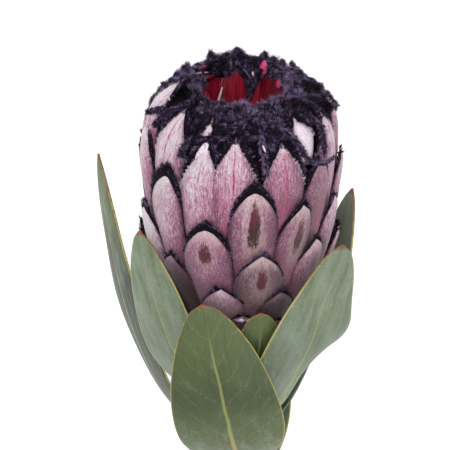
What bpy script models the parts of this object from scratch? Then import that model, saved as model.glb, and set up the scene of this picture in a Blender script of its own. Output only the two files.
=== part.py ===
"""A cut protea flower that lies on a table: the head of overlapping bracts with its cup, the
crown of dark beards on the rim, the florets in the cup, the stem and nine leathery leaves.

Every piece is modelled with the flower upright: Z runs from the cut end of the stem to the
head, the front of the flower faces -Y and X is to the right. Azimuths turn from the front
towards +X. One empty lays the whole flower on its back, with its front up and its head
towards +Y.
"""
import math
import random

import bmesh
import bpy
import numpy as np
from mathutils import Matrix, Vector

MM = 0.001
GAP = 0.3

# How the flower lies, in degrees and millimetres: the tilt of its axis, and where the middle
# of the head's base is, with the middle of the flower's box over the origin
TILT = 4.0
AXIS_HEIGHT = 27.6
PLACE_X = 3.95
PLACE_Y = 2.23
TABLE_BLOCK = 400.0

# The head: height above the receptacle and radius over the bracts, in millimetres
HEAD_PROFILE = (
    (-2.0, 12.5), (0.0, 15.0), (5.0, 20.0), (10.0, 23.5), (20.0, 28.0), (35.0, 31.3),
    (50.0, 32.5), (65.0, 32.0), (72.0, 30.8), (78.0, 28.8), (83.0, 25.8), (87.0, 22.0),
)
RECEPTACLE_BOTTOM = -1.0
RECEPTACLE_RADIUS = 9.0
CORE_DEPTH = 3.2
CORE_STEPS = 24
WALL_TOP = 80.4
CUP_RADIUS = 16.2
CUP_FLOOR = 56.0
CUP_FLOOR_RADIUS = 13.6

# A bract: how far it stands out of the head, how it sinks towards its base, how it is cupped
BRACT_THICKNESS = 1.6
BRACT_RISE = 0.8
BRACT_SINK = 0.13
BRACT_CUP = 1.1
BRACT_ROWS = 5
BRACT_COLUMNS = 2
BRACT_WIDEST = 0.62
BRACT_BASE_WIDTH = 0.55
BRACT_TIP_WIDTH = 0.03
BRACT_TIP_CLOSING = 2.4
BRACT_TIP_ROUNDING = 0.75
BRACT_ROW_SPREAD = 1.15

# The bracts on the front: azimuth in degrees, then tip height, length and width in millimetres
FRONT_BRACTS = (
    (-50.0, 19.0, 17.0, 12.0), (2.0, 17.5, 16.0, 13.0), (22.0, 25.0, 21.0, 14.0),
    (-14.0, 28.0, 23.0, 14.5), (-45.0, 36.5, 28.0, 13.0), (12.5, 40.0, 29.0, 15.5),
    (-67.0, 49.5, 31.0, 13.0), (-17.5, 49.5, 32.0, 15.2), (36.0, 55.5, 34.0, 14.0),
    (60.0, 51.5, 32.0, 13.0), (-40.0, 64.0, 36.0, 14.0), (8.0, 62.5, 36.0, 15.4),
    (47.0, 66.5, 34.0, 13.0), (-75.0, 74.0, 38.0, 13.0), (-19.0, 75.0, 38.0, 13.5),
    (-3.0, 78.0, 38.0, 14.0), (24.0, 75.0, 36.0, 14.0), (-43.0, 83.5, 36.0, 13.5),
    (-19.0, 81.5, 32.0, 12.0), (34.0, 81.0, 32.0, 12.0), (61.0, 80.0, 36.0, 13.0),
    (-61.0, 84.0, 30.0, 11.5),
)
# The rows round the sides and back: tip height, length, width, first azimuth, how many
BACK_ROWS = (
    (26.0, 21.0, 14.0, 62.0, 6), (38.0, 28.0, 14.5, 85.0, 5), (51.5, 32.0, 14.5, 108.0, 4),
    (64.5, 36.0, 14.5, 85.0, 5), (75.5, 37.0, 14.0, 108.0, 4), (82.5, 35.0, 13.0, 90.0, 5),
    (41.5, 28.0, 13.0, 50.0, 1), (14.0, 13.0, 12.5, 30.0, 7), (7.0, 8.5, 11.0, 55.0, 6),
)
ROW_STEP = 46.0
ROW_TURN_STRAY = 3.0
ROW_TIP_STRAY = 1.2
ROW_WIDTH_STRAY = 0.05

# The inner bracts that line the cup
LINING_BRACTS = 11
LINING_FOOT = 63.0
LINING_WIDTH = 9.0
LINING_BULGE = 0.8
LINING_EDGE_SINK = 0.3
LINING_THICKNESS = 1.3
LINING_CLEAR = 0.5

# The crown of beards: the section of its ring as radius and height over the cup's wall, and
# its tufts, whose roots lie on a smaller ring inside
CROWN_SECTION = (
    (16.4, GAP), (16.2, 4.2), (18.2, 6.2), (21.4, 6.6), (23.8, 5.8), (24.4, 4.4), (22.2, 2.6),
    (21.8, GAP), (16.4, GAP),
)
CROWN_STEPS = 24
TUFTS = 70
TUFT_RING_RADIUS = 20.4
TUFT_RING_HEIGHT = 4.4
TUFT_RING_HALF_WIDTH = 2.2
TUFT_RING_HALF_HEIGHT = 1.0
TUFT_LEANS = (30.0, 60.0, 90.0, 120.0, 155.0)
TUFT_LEAN_STRAY = 12.0
TUFT_TURN_STRAY = 0.25
TUFT_LENGTH = (3.6, 5.0)
TUFT_RADIUS = 2.0
TUFT_POINT = 0.25
TUFT_SIDES = 4
GOLDEN_ANGLE = 137.508

# The florets: a cone of slender spikes that lean together over the cup's floor
FLORET_CORE_RADIUS = 11.0
FLORET_CORE_FOOT = 2.0
FLORET_CORE_SHOULDER = (3.85, 66.0)
FLORET_CORE_TOP = 69.0
FLORETS = 34
FLORET_RING_RADIUS = 10.1
FLORET_RADIUS = 1.1
FLORET_LENGTH = 15.0
FLORET_ROOT = 2.2
FLORET_SIDES = 4
FLORET_STEPS = 16
FLORET_LEAN = (0.10, 0.35)
FLORET_OUTER_SHORTER = 0.25
FLORET_POINT = 0.35

# The stem: height and radius along it, and how far its middle strays to the side and back
STEM_ROUTE = (
    (-1.3, 6.6, 0.0, 0.0), (-5.0, 5.2, 0.0, 0.0), (-12.0, 4.6, 0.0, 0.0), (-30.0, 4.4, 0.1, 0.1),
    (-50.0, 4.4, 0.4, 0.4), (-70.0, 4.6, 0.5, 1.2), (-96.0, 4.9, 0.0, 2.2),
)
STEM_SIDES_RESOLUTION = 3

# The leaves: where each one leaves the stem, the two points that bend its midrib, its tip
# (side, back, height), the azimuths that its back faces at its base and tip, and its form
LEAF_THICKNESS = 1.0
LEAF_CLEAR = 0.45
LEAF_STALK_WIDTH = 4.4
LEAF_STALK_SHARE = 0.3
LEAF_TIP_HALF_WIDTH = 0.3
LEAF_ROWS = 12
LEAF_COLUMNS = 4
LEAVES = {
    "leaf_front": dict(
        height=-44, bends=((0, -28, -37), (-4, -40, -12)), tip=(-11.5, -35, 26),
        width=34.5, faces=(0, -8), cup=0.12, widest=0.55, tip_form=0.53, base_form=0.5),
    "leaf_right": dict(
        height=-32, bends=((9, -15, -28), (19.5, -28.5, -7)), tip=(32, -19, 38.5),
        width=34, faces=(32, 42), cup=0.06, widest=0.66, tip_form=0.53, base_form=1.25),
    "leaf_left": dict(
        height=-27, bends=((-10, -14, -22), (-23.5, -23.5, -3)),
        tip=(-31, -16.5, 42),
        width=27, faces=(-38, -45), cup=0.10, widest=0.64, tip_form=0.61, base_form=1.2),
    "leaf_far_left": dict(
        height=-40, bends=((-23, 5, -39), (-38.5, 4, -10)), tip=(-44, 3, 59.5),
        width=25, faces=(-76, -62), cup=0.15, widest=0.55, tip_form=0.76, base_form=0.9),
    "leaf_far_right": dict(
        height=-42, bends=((12, 8.5, -42), (26, 12.5, -15)),
        tip=(35.9, 10, 44.5),
        width=24, faces=(118, 128), cup=0.10, widest=0.60, tip_form=0.68, base_form=1.1),
    "leaf_middle": dict(
        height=-22, bends=((2.5, -15, -20), (6, -27.5, -8)), tip=(6.5, -30, 20.5),
        width=20.5, faces=(10, 12), cup=0.15, widest=0.58, tip_form=0.47, base_form=0.9),
    "leaf_back_left": dict(
        height=-54, bends=((-5, 17, -50), (-15, 24.4, -18)), tip=(-25, 25.6, 36),
        width=23, faces=(-170, -150), cup=0.10, widest=0.55, tip_form=0.68, base_form=0.8),
    "leaf_back_right": dict(
        height=-31, bends=((-1, 17, -28), (1, 25.2, -12)), tip=(8, 26.8, 14),
        width=18, faces=(178, 172), cup=0.05, widest=0.55, tip_form=0.68, base_form=1.0),
    "leaf_low_back": dict(
        height=-62, bends=((3, 16, -60), (8, 24.6, -44)), tip=(14, 25.4, -8),
        width=20, faces=(172, 168), cup=0.08, widest=0.55, tip_form=0.68, base_form=1.0),
}

COLOURS = {
    "bract": ((0.52, 0.27, 0.33, 1.0), 0.62),
    "beard": ((0.020, 0.012, 0.022, 1.0), 0.85),
    "floret": ((0.30, 0.05, 0.09, 1.0), 0.70),
    "stem": ((0.21, 0.20, 0.09, 1.0), 0.65),
    "leaf": ((0.20, 0.25, 0.13, 1.0), 0.50),
}


# Scene and materials

def clear_scene():
    for item in list(bpy.data.objects):
        bpy.data.objects.remove(item, do_unlink=True)


def new_collection(name):
    collection = bpy.data.collections.new(name)
    bpy.context.scene.collection.children.link(collection)
    return collection


def new_material(name):
    colour, roughness = COLOURS[name]
    material = bpy.data.materials.new(name)
    material.use_nodes = True
    shader = material.node_tree.nodes["Principled BSDF"]
    shader.inputs["Base Color"].default_value = colour
    shader.inputs["Roughness"].default_value = roughness
    shader.inputs["Metallic"].default_value = 0.0
    return material


def new_pose():
    """The empty that lays the flower down: a turn about X, then a lift to the table."""
    pose = bpy.data.objects.new("flower_pose", None)
    bpy.context.scene.collection.objects.link(pose)
    pose.rotation_euler = (math.radians(TILT - 90.0), 0.0, 0.0)
    pose.location = (PLACE_X * MM, PLACE_Y * MM, AXIS_HEIGHT * MM)
    bpy.context.view_layer.update()
    return pose


def add_object(name, mesh, collection, pose, material=None):
    item = bpy.data.objects.new(name, mesh)
    collection.objects.link(item)
    item.parent = pose
    if material:
        mesh.materials.append(material)
    return item


def mesh_from_grid(name, points):
    """An open surface over a grid of points, each cell split along the same diagonal."""
    rows, columns = points.shape[:2]
    form = bmesh.new()
    grid = [[form.verts.new(points[i, j] * MM) for j in range(columns)] for i in range(rows)]
    for i in range(rows - 1):
        for j in range(columns - 1):
            form.faces.new((grid[i][j], grid[i][j + 1], grid[i + 1][j + 1]))
            form.faces.new((grid[i][j], grid[i + 1][j + 1], grid[i + 1][j]))
    mesh = bpy.data.meshes.new(name)
    form.to_mesh(mesh)
    form.free()
    return mesh


def thicken(item, thickness, offset):
    shell = item.modifiers.new("thickness", "SOLIDIFY")
    shell.thickness = thickness * MM
    shell.offset = offset
    shell.use_even_offset = False


def bake_modifiers(item):
    """Puts the mesh as its modifiers leave it in place of the object's own mesh."""
    bpy.context.view_layer.update()
    graph = bpy.context.evaluated_depsgraph_get()
    mesh = bpy.data.meshes.new_from_object(item.evaluated_get(graph))
    item.modifiers.clear()
    item.data = mesh


def join_with(item, group, solver="EXACT"):
    """One union of the object with every object of the group, which is then removed."""
    union = item.modifiers.new("union", "BOOLEAN")
    union.operation = "UNION"
    union.operand_type = "COLLECTION"
    union.collection = group
    union.solver = solver
    bake_modifiers(item)
    for part in list(group.objects):
        bpy.data.objects.remove(part, do_unlink=True)
    bpy.data.collections.remove(group)


def keep_outer_shell(item):
    """Drops every shell but the widest one, which fills sealed hollows and removes scraps."""
    form = bmesh.new()
    form.from_mesh(item.data)
    left = set(form.faces)
    shells = []
    while left:
        shell = {left.pop()}
        front = list(shell)
        while front:
            face = front.pop()
            for edge in face.edges:
                for near in edge.link_faces:
                    if near in left:
                        left.remove(near)
                        shell.add(near)
                        front.append(near)
        shells.append(shell)
    shells.sort(key=lambda shell: -sum(face.calc_area() for face in shell))
    inner = [face for shell in shells[1:] for face in shell]
    bmesh.ops.delete(form, geom=inner, context="FACES")
    loose = [vert for vert in form.verts if not vert.link_faces]
    bmesh.ops.delete(form, geom=loose, context="VERTS")
    form.to_mesh(item.data)
    form.free()


# Forms

def smooth_profile(stations, height):
    """The radius at a height: cubic Hermite pieces through the stations."""
    heights, radii = np.array(stations).T
    slopes = np.gradient(radii, heights)
    height = np.clip(height, heights[0], heights[-1])
    k = np.clip(np.searchsorted(heights, height) - 1, 0, len(heights) - 2)
    span = heights[k + 1] - heights[k]
    s = (height - heights[k]) / span
    return (
        radii[k] * (1 + 2 * s) * (1 - s) ** 2
        + radii[k + 1] * s * s * (3 - 2 * s)
        + span * (slopes[k] * s * (1 - s) ** 2 - slopes[k + 1] * s * s * (1 - s))
    )


def head_radius(height):
    return smooth_profile(HEAD_PROFILE, height)


def around(azimuth, radius, height):
    """Points from azimuths in radians, radii and heights."""
    azimuth, radius, height = np.broadcast_arrays(azimuth, radius, height)
    return np.stack([radius * np.sin(azimuth), -radius * np.cos(azimuth), height], axis=-1)


def bract_outline(along):
    """The share of its full width that a bract has: narrow at its base, broad past the middle
    and rounded to a short point at its tip."""
    opening = np.sin(np.clip(along / BRACT_WIDEST, 0, 1) * np.pi / 2)
    closing = np.clip((along - BRACT_WIDEST) / (1 - BRACT_WIDEST), 0, 1)
    body = BRACT_BASE_WIDTH + (1 - BRACT_BASE_WIDTH) * opening
    return body * (1 - closing ** BRACT_TIP_CLOSING) ** BRACT_TIP_ROUNDING


def bract_surface(azimuth, tip, length, width):
    """The outer face of a bract as a grid: it follows the head from its base to its tip, lies
    deeper the further it is from the tip, and its sides curve in."""
    along = 1 - (1 - np.linspace(0, 1, BRACT_ROWS + 1)[:, None]) ** BRACT_ROW_SPREAD
    across = np.linspace(-1, 1, BRACT_COLUMNS + 1)[None, :]
    height = tip - length * (1 - along)
    half_width = 0.5 * width * np.maximum(bract_outline(along), BRACT_TIP_WIDTH)
    radius = head_radius(height) + BRACT_RISE - BRACT_SINK * (tip - height)
    radius = radius - BRACT_CUP * across ** 2 * half_width / half_width.max()
    turn = math.radians(azimuth) + across * half_width / radius
    return around(turn, radius, height)


def lining_surface(share):
    """The inner face of a bract in the cup: a strip of the wall that bulges towards the axis."""
    along = np.linspace(0, 1, 3)[:, None]
    across = np.linspace(-1, 1, 3)[None, :]
    height = LINING_FOOT + LINING_CLEAR + (WALL_TOP - LINING_FOOT - 2 * LINING_CLEAR) * along
    radius = CUP_RADIUS - LINING_BULGE + (LINING_BULGE + LINING_EDGE_SINK) * across ** 2
    turn = math.tau * share + 0.5 * LINING_WIDTH * across / CUP_RADIUS
    return around(turn, radius + 0.0 * along, height)


def bract_places():
    """Every bract of the head: those of the front, then the rows round its sides and back."""
    draw = random.Random(7)
    places = list(FRONT_BRACTS)
    for tip, length, width, first, count in BACK_ROWS:
        for k in range(count):
            azimuth = first + k * ROW_STEP + draw.uniform(-ROW_TURN_STRAY, ROW_TURN_STRAY)
            top = tip + draw.uniform(-ROW_TIP_STRAY, ROW_TIP_STRAY)
            stretch = 1 + draw.uniform(-ROW_WIDTH_STRAY, ROW_WIDTH_STRAY)
            places.append((azimuth, top, length, width * stretch))
    return places


def revolve(name, profile, steps, collection, pose, material):
    """A closed profile of (radius, height) points turned about Z."""
    mesh = bpy.data.meshes.new(name)
    points = [(radius * MM, 0.0, height * MM) for radius, height in profile]
    mesh.from_pydata(points, [(k, k + 1) for k in range(len(points) - 1)], [])
    item = add_object(name, mesh, collection, pose, material)
    screw = item.modifiers.new("turn", "SCREW")
    screw.axis = "Z"
    screw.angle = math.tau
    screw.steps = steps
    screw.render_steps = steps
    screw.use_merge_vertices = True
    screw.merge_threshold = 0.00001
    screw.use_normal_calculate = False
    return item


def table_block(cutters):
    """The cutter below the table's surface, which leaves a flat where the head lies."""
    half = TABLE_BLOCK / 2 * MM
    bpy.ops.mesh.primitive_cube_add(size=2 * half, location=(0, 0, -half))
    block = bpy.context.object
    block.name = "cut_table"
    for owner in list(block.users_collection):
        owner.objects.unlink(block)
    cutters.objects.link(block)
    block.hide_render = True
    block.display_type = "WIRE"
    return block


def cut_flat(item, block):
    flat = item.modifiers.new("flat", "BOOLEAN")
    flat.operation = "DIFFERENCE"
    flat.object = block
    flat.solver = "MANIFOLD"
    bake_modifiers(item)


# The pieces

def build_head(parts, pose, block):
    """The receptacle and the wall of the cup as one turned core, with every bract fused to it."""
    wall = [h for h, _ in HEAD_PROFILE if 0.0 <= h < WALL_TOP]
    profile = [(0.0, CUP_FLOOR), (CUP_FLOOR_RADIUS, CUP_FLOOR)]
    profile += [(CUP_RADIUS, LINING_FOOT), (CUP_RADIUS, WALL_TOP)]
    profile += [(float(head_radius(WALL_TOP)) - CORE_DEPTH, WALL_TOP)]
    profile += [(float(head_radius(h)) - CORE_DEPTH, h) for h in reversed(wall)]
    profile += [(RECEPTACLE_RADIUS, RECEPTACLE_BOTTOM), (0.0, RECEPTACLE_BOTTOM)]
    head = revolve("head", profile, CORE_STEPS, parts, pose, new_material("bract"))
    bracts = new_collection("bracts")
    for k, place in enumerate(bract_places()):
        mesh = mesh_from_grid(f"bract_{k}", bract_surface(*place))
        bract = add_object(f"bract_{k}", mesh, bracts, pose)
        thicken(bract, BRACT_THICKNESS, -1.0)
    for k in range(LINING_BRACTS):
        mesh = mesh_from_grid(f"lining_{k}", lining_surface(k / LINING_BRACTS))
        lining = add_object(f"lining_{k}", mesh, bracts, pose)
        thicken(lining, LINING_THICKNESS, 1.0)
    join_with(head, bracts, solver="MANIFOLD")
    cut_flat(head, block)
    keep_outer_shell(head)
    return head


def cone_object(name, root, aim, length, radius, point, sides, group, pose):
    """A slim cone from a root in the direction of aim, with a narrow flat point."""
    form = bmesh.new()
    bmesh.ops.create_cone(
        form, cap_ends=True, segments=sides, radius1=radius * MM, radius2=point * MM,
        depth=length * MM)
    turn = Vector(aim).to_track_quat("Z", "Y").to_matrix().to_4x4()
    place = Matrix.Translation(Vector((root + aim * length / 2) * MM)) @ turn
    bmesh.ops.transform(form, matrix=place, verts=form.verts)
    mesh = bpy.data.meshes.new(name)
    form.to_mesh(mesh)
    form.free()
    return add_object(name, mesh, group, pose)


def build_crown(parts, pose):
    """The beards matted together on the rim: a turned ring with tufts that point out, up and in."""
    profile = [(radius, WALL_TOP + height) for radius, height in CROWN_SECTION]
    crown = revolve("beard_crown", profile, CROWN_STEPS, parts, pose, new_material("beard"))
    draw = random.Random(11)
    tufts = new_collection("tufts")
    for k in range(TUFTS):
        turn = math.radians(k * GOLDEN_ANGLE)
        stray = draw.uniform(-TUFT_LEAN_STRAY, TUFT_LEAN_STRAY)
        lean = math.radians(TUFT_LEANS[k % len(TUFT_LEANS)] + stray)
        root = around(
            turn, TUFT_RING_RADIUS + TUFT_RING_HALF_WIDTH * math.cos(lean),
            WALL_TOP + TUFT_RING_HEIGHT + TUFT_RING_HALF_HEIGHT * math.sin(lean))
        swing = draw.uniform(-TUFT_TURN_STRAY, TUFT_TURN_STRAY)
        aim = around(turn + swing, math.cos(lean), math.sin(lean))
        cone_object(
            f"tuft_{k}", root, aim, draw.uniform(*TUFT_LENGTH), TUFT_RADIUS,
            TUFT_POINT * TUFT_RADIUS, TUFT_SIDES, tufts, pose)
    join_with(crown, tufts)
    keep_outer_shell(crown)
    return crown


def build_florets(parts, pose):
    """The florets: spikes in rings that lean in over a low cone on the cup's floor."""
    foot = CUP_FLOOR + GAP
    profile = [
        (0.0, FLORET_CORE_TOP), FLORET_CORE_SHOULDER, (FLORET_CORE_RADIUS, foot + FLORET_CORE_FOOT),
        (FLORET_CORE_RADIUS, foot), (0.0, foot)]
    florets = revolve("florets", profile, FLORET_STEPS, parts, pose, new_material("floret"))
    spikes = new_collection("spikes")
    for k in range(FLORETS):
        share = math.sqrt((k + 0.5) / FLORETS)
        turn = math.radians(k * GOLDEN_ANGLE)
        lean = FLORET_LEAN[0] + (FLORET_LEAN[1] - FLORET_LEAN[0]) * share
        root = around(turn, share * FLORET_RING_RADIUS, foot + FLORET_ROOT)
        aim = around(turn, -math.sin(lean), math.cos(lean))
        length = FLORET_LENGTH * (1 - FLORET_OUTER_SHORTER * share)
        cone_object(
            f"spike_{k}", root, aim, length, FLORET_RADIUS, FLORET_POINT * FLORET_RADIUS,
            FLORET_SIDES, spikes, pose)
    join_with(florets, spikes)
    keep_outer_shell(florets)
    return florets


def stem_at(height):
    """The radius of the stem and the place of its middle at a height."""
    heights, radii, sides, backs = np.array(STEM_ROUTE[::-1]).T
    return (
        float(np.interp(height, heights, radii)),
        np.array([np.interp(height, heights, sides), np.interp(height, heights, backs), height]))


def build_stem(parts, pose):
    """A tube along the stem's route, thicker under the head, made a mesh with welded caps."""
    curve = bpy.data.curves.new("stem_route", "CURVE")
    curve.dimensions = "3D"
    curve.bevel_depth = MM
    curve.bevel_resolution = STEM_SIDES_RESOLUTION
    curve.use_fill_caps = True
    spline = curve.splines.new("POLY")
    spline.points.add(len(STEM_ROUTE) - 1)
    for point, (height, radius, side, back) in zip(spline.points, STEM_ROUTE):
        point.co = (side * MM, back * MM, height * MM, 1.0)
        point.radius = radius
    route = bpy.data.objects.new("stem_route", curve)
    parts.objects.link(route)
    bpy.context.view_layer.update()
    mesh = bpy.data.meshes.new_from_object(route.evaluated_get(bpy.context.evaluated_depsgraph_get()))
    form = bmesh.new()
    form.from_mesh(mesh)
    bmesh.ops.remove_doubles(form, verts=form.verts, dist=0.00001)
    form.to_mesh(mesh)
    form.free()
    bpy.data.objects.remove(route, do_unlink=True)
    stem = add_object("stem", mesh, parts, pose, new_material("stem"))
    mesh.shade_smooth()
    mesh.set_sharp_from_angle(angle=math.radians(40))
    return stem


def leaf_start(height, bend):
    """Where a leaf meets the stem: on the side of its first bend, just clear of the bark."""
    radius, middle = stem_at(height)
    aim = bend - middle
    reach = math.hypot(aim[0], aim[1])
    steepness = abs(aim[2]) / np.linalg.norm(aim)
    clear = radius + LEAF_CLEAR + 0.5 * LEAF_THICKNESS * steepness
    return middle + np.array([aim[0], aim[1], 0.0]) / reach * clear


def bezier(points, v):
    """A cubic Bezier curve through four points, and its direction, at the shares v."""
    a, b, c, d = points
    place = (1 - v) ** 3 * a + 3 * (1 - v) ** 2 * v * b + 3 * (1 - v) * v * v * c + v ** 3 * d
    run = (1 - v) ** 2 * (b - a) + 2 * (1 - v) * v * (c - b) + v * v * (d - c)
    return place, run / np.linalg.norm(run, axis=1, keepdims=True)


def leaf_half_width(v, width, widest, tip_form, base_form):
    """A power of a sine along the leaf, whose peak is moved to the widest place, and no less
    than its stalk and its blunt tip."""
    peak = math.log(0.5) / math.log(widest)
    bulge = np.maximum(np.sin(np.pi * v ** peak), 0)
    half_width = 0.5 * width * bulge ** (base_form + (tip_form - base_form) * v)
    stalk = 0.5 * LEAF_STALK_WIDTH * (v < LEAF_STALK_SHARE)
    return np.maximum(half_width, stalk + LEAF_TIP_HALF_WIDTH)


def leaf_surface(height, bends, tip, width, faces, cup, widest, tip_form, base_form):
    """The middle of a leaf's blade as a grid: a Bezier midrib from the stem to the tip, with
    sides that curve in from the azimuth that its back faces."""
    points = [np.array(point, float) for point in (*bends, tip)]
    points.insert(0, leaf_start(height, points[0]))
    v = np.linspace(0, 1, LEAF_ROWS + 1)[:, None]
    midrib, run = bezier(points, v)
    out = around(np.radians(faces[0] + (faces[1] - faces[0]) * v[:, 0]), 1.0, 0.0)
    out -= (out * run).sum(axis=1, keepdims=True) * run
    out /= np.linalg.norm(out, axis=1, keepdims=True)
    side = np.cross(run, out)
    half_width = leaf_half_width(v, width, widest, tip_form, base_form)
    across = np.linspace(-1, 1, LEAF_COLUMNS + 1)[None, :]
    return (
        midrib[:, None]
        + side[:, None] * (half_width * across)[:, :, None]
        - out[:, None] * (cup * half_width * across ** 2)[:, :, None])


def build_leaf(name, form, parts, pose, material):
    mesh = mesh_from_grid(name, leaf_surface(**form))
    leaf = add_object(name, mesh, parts, pose, material)
    thicken(leaf, LEAF_THICKNESS, 0.0)
    return leaf


def main():
    clear_scene()
    parts = new_collection("protea_flower")
    cutters = new_collection("cutters")
    pose = new_pose()
    block = table_block(cutters)
    build_head(parts, pose, block)
    build_crown(parts, pose)
    build_florets(parts, pose)
    build_stem(parts, pose)
    leaf_material = new_material("leaf")
    for name, form in LEAVES.items():
        build_leaf(name, form, parts, pose, leaf_material)


main()
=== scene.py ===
"""A cut protea flower that lies on a pale table: its downy bracts with their dark fringes, the
woolly beards round its mouth, the crimson cup with its florets, the stem and the leaves.

The flower is worked out upright, in millimetres: side, back and height, with the head's base at
height 0 and the stem below it. One function lays every point down on the table.
"""
import math
import random

import bpy
import numpy as np
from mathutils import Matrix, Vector


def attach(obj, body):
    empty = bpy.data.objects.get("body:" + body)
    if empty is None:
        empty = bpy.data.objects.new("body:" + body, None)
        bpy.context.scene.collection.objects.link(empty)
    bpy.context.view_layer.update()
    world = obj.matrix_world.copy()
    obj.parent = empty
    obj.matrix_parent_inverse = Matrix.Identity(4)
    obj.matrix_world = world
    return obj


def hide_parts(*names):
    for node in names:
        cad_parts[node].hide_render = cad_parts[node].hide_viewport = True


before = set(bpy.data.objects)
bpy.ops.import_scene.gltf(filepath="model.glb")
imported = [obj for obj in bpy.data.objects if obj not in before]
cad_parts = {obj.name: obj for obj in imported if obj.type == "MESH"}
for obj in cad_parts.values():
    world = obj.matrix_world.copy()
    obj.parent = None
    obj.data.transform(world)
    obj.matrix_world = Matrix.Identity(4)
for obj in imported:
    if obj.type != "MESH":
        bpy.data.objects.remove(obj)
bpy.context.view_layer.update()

bl_info = {
    "name": "Protea Flower",
    "version": (1, 0, 0),
    "blender": (4, 5, 0),
    "location": "View3D > Sidebar > Protea",
    "description": "Builds a cut protea flower on a studio table",
    "category": "Object",
}

MM = 0.001
GOLDEN_ANGLE = math.radians(137.508)
BAKE_MAP = "OFBake"
UP = np.array([0.0, 0.0, 1.0])

# A direction that no hair or tube runs along
OBLIQUE = np.array([0.31, 0.52, 0.79])

# The most hairs in a piece: a hair has four faces, and a piece may have 200,000
MOST_HAIRS = 48_000

# Half the width of a hair on the bake map
HAIR_STEP = 0.004

# The board that a shell has on the bake map: its bare edge, the width of its outer face, where
# its inner one starts and how wide that is, and how far the rim reaches outwards
BOARD_EDGE = 0.04
OUTER_WIDTH = 0.56
INNER_START = 0.68
INNER_WIDTH = 0.26
RIM_REACH = 0.05

# 0 on a shell's outer face and 1 on its inner one, over its shells, faces, rows and columns
INNER_FACE = np.array([0.0, 1.0])[None, :, None, None]

# The photo's middle, and the base of the head in it, in its pixels, and its scale
PHOTO_MIDDLE = 225.0
HEAD_BASE_X = 239.0
HEAD_BASE_Y = 328.0
MM_PER_PIXEL = 0.32

# How the flower lies: the same values as its solids have, in degrees and millimetres
TILT = 4.0
AXIS_HEIGHT = 27.6
PLACE_X = 3.95
PLACE_Y = 2.23
HEAD_SWAY = 1.1
SWAY_HEIGHTS = (60, 88)
TABLE_CLEAR = 0.08
TABLE_SOFTNESS = 0.3

# The head: height above the receptacle and radius over the bracts
HEAD_PROFILE = (
    (-2.0, 12.5), (0.0, 15.0), (5.0, 20.0), (10.0, 23.5), (20.0, 28.0), (35.0, 31.3),
    (50.0, 32.5), (65.0, 32.0), (72.0, 30.6), (78.0, 28.0), (82.0, 25.2), (85.0, 22.2),
    (88.0, 17.8), (90.0, 13.0),
)

# The core behind the bracts: how far under them it lies, how high it reaches, and the rest of
# its line, as radius and height: its foot, and the wall of the cup down to its floor
CORE_DEPTH = 5.0
CORE_TOP = 80.0
CORE_FOOT = ((0.01, -1.0), (9.0, -1.0))
CUP_WALL = ((17.6, 81.0), (16.8, 79.0), (16.6, 63.0), (13.8, 56.2), (0.01, 56.2))
CORE_ROWS = 33
CORE_COLUMNS = 72

# The bracts: how far they stand off the head's radius, sink for each millimetre below the tip
# and fall away to their sides, their widths at the base and at the tip as shares of the full
# one, where along them they are widest, how far the tip bends in, and the midline's groove
BRACT_RISE = 0.6
BRACT_SINK = 0.13
BRACT_CUP = 1.7
BRACT_BASE_WIDTH = 0.95
BRACT_TIP_WIDTH = 0.02
BRACT_WIDEST = 0.58
TIP_INCURVE = 1.1
GROOVE_WIDTH = 0.45
GROOVE_DEPTH = 0.22
BRACT_ROWS = 27
BRACT_COLUMNS = 13

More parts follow.
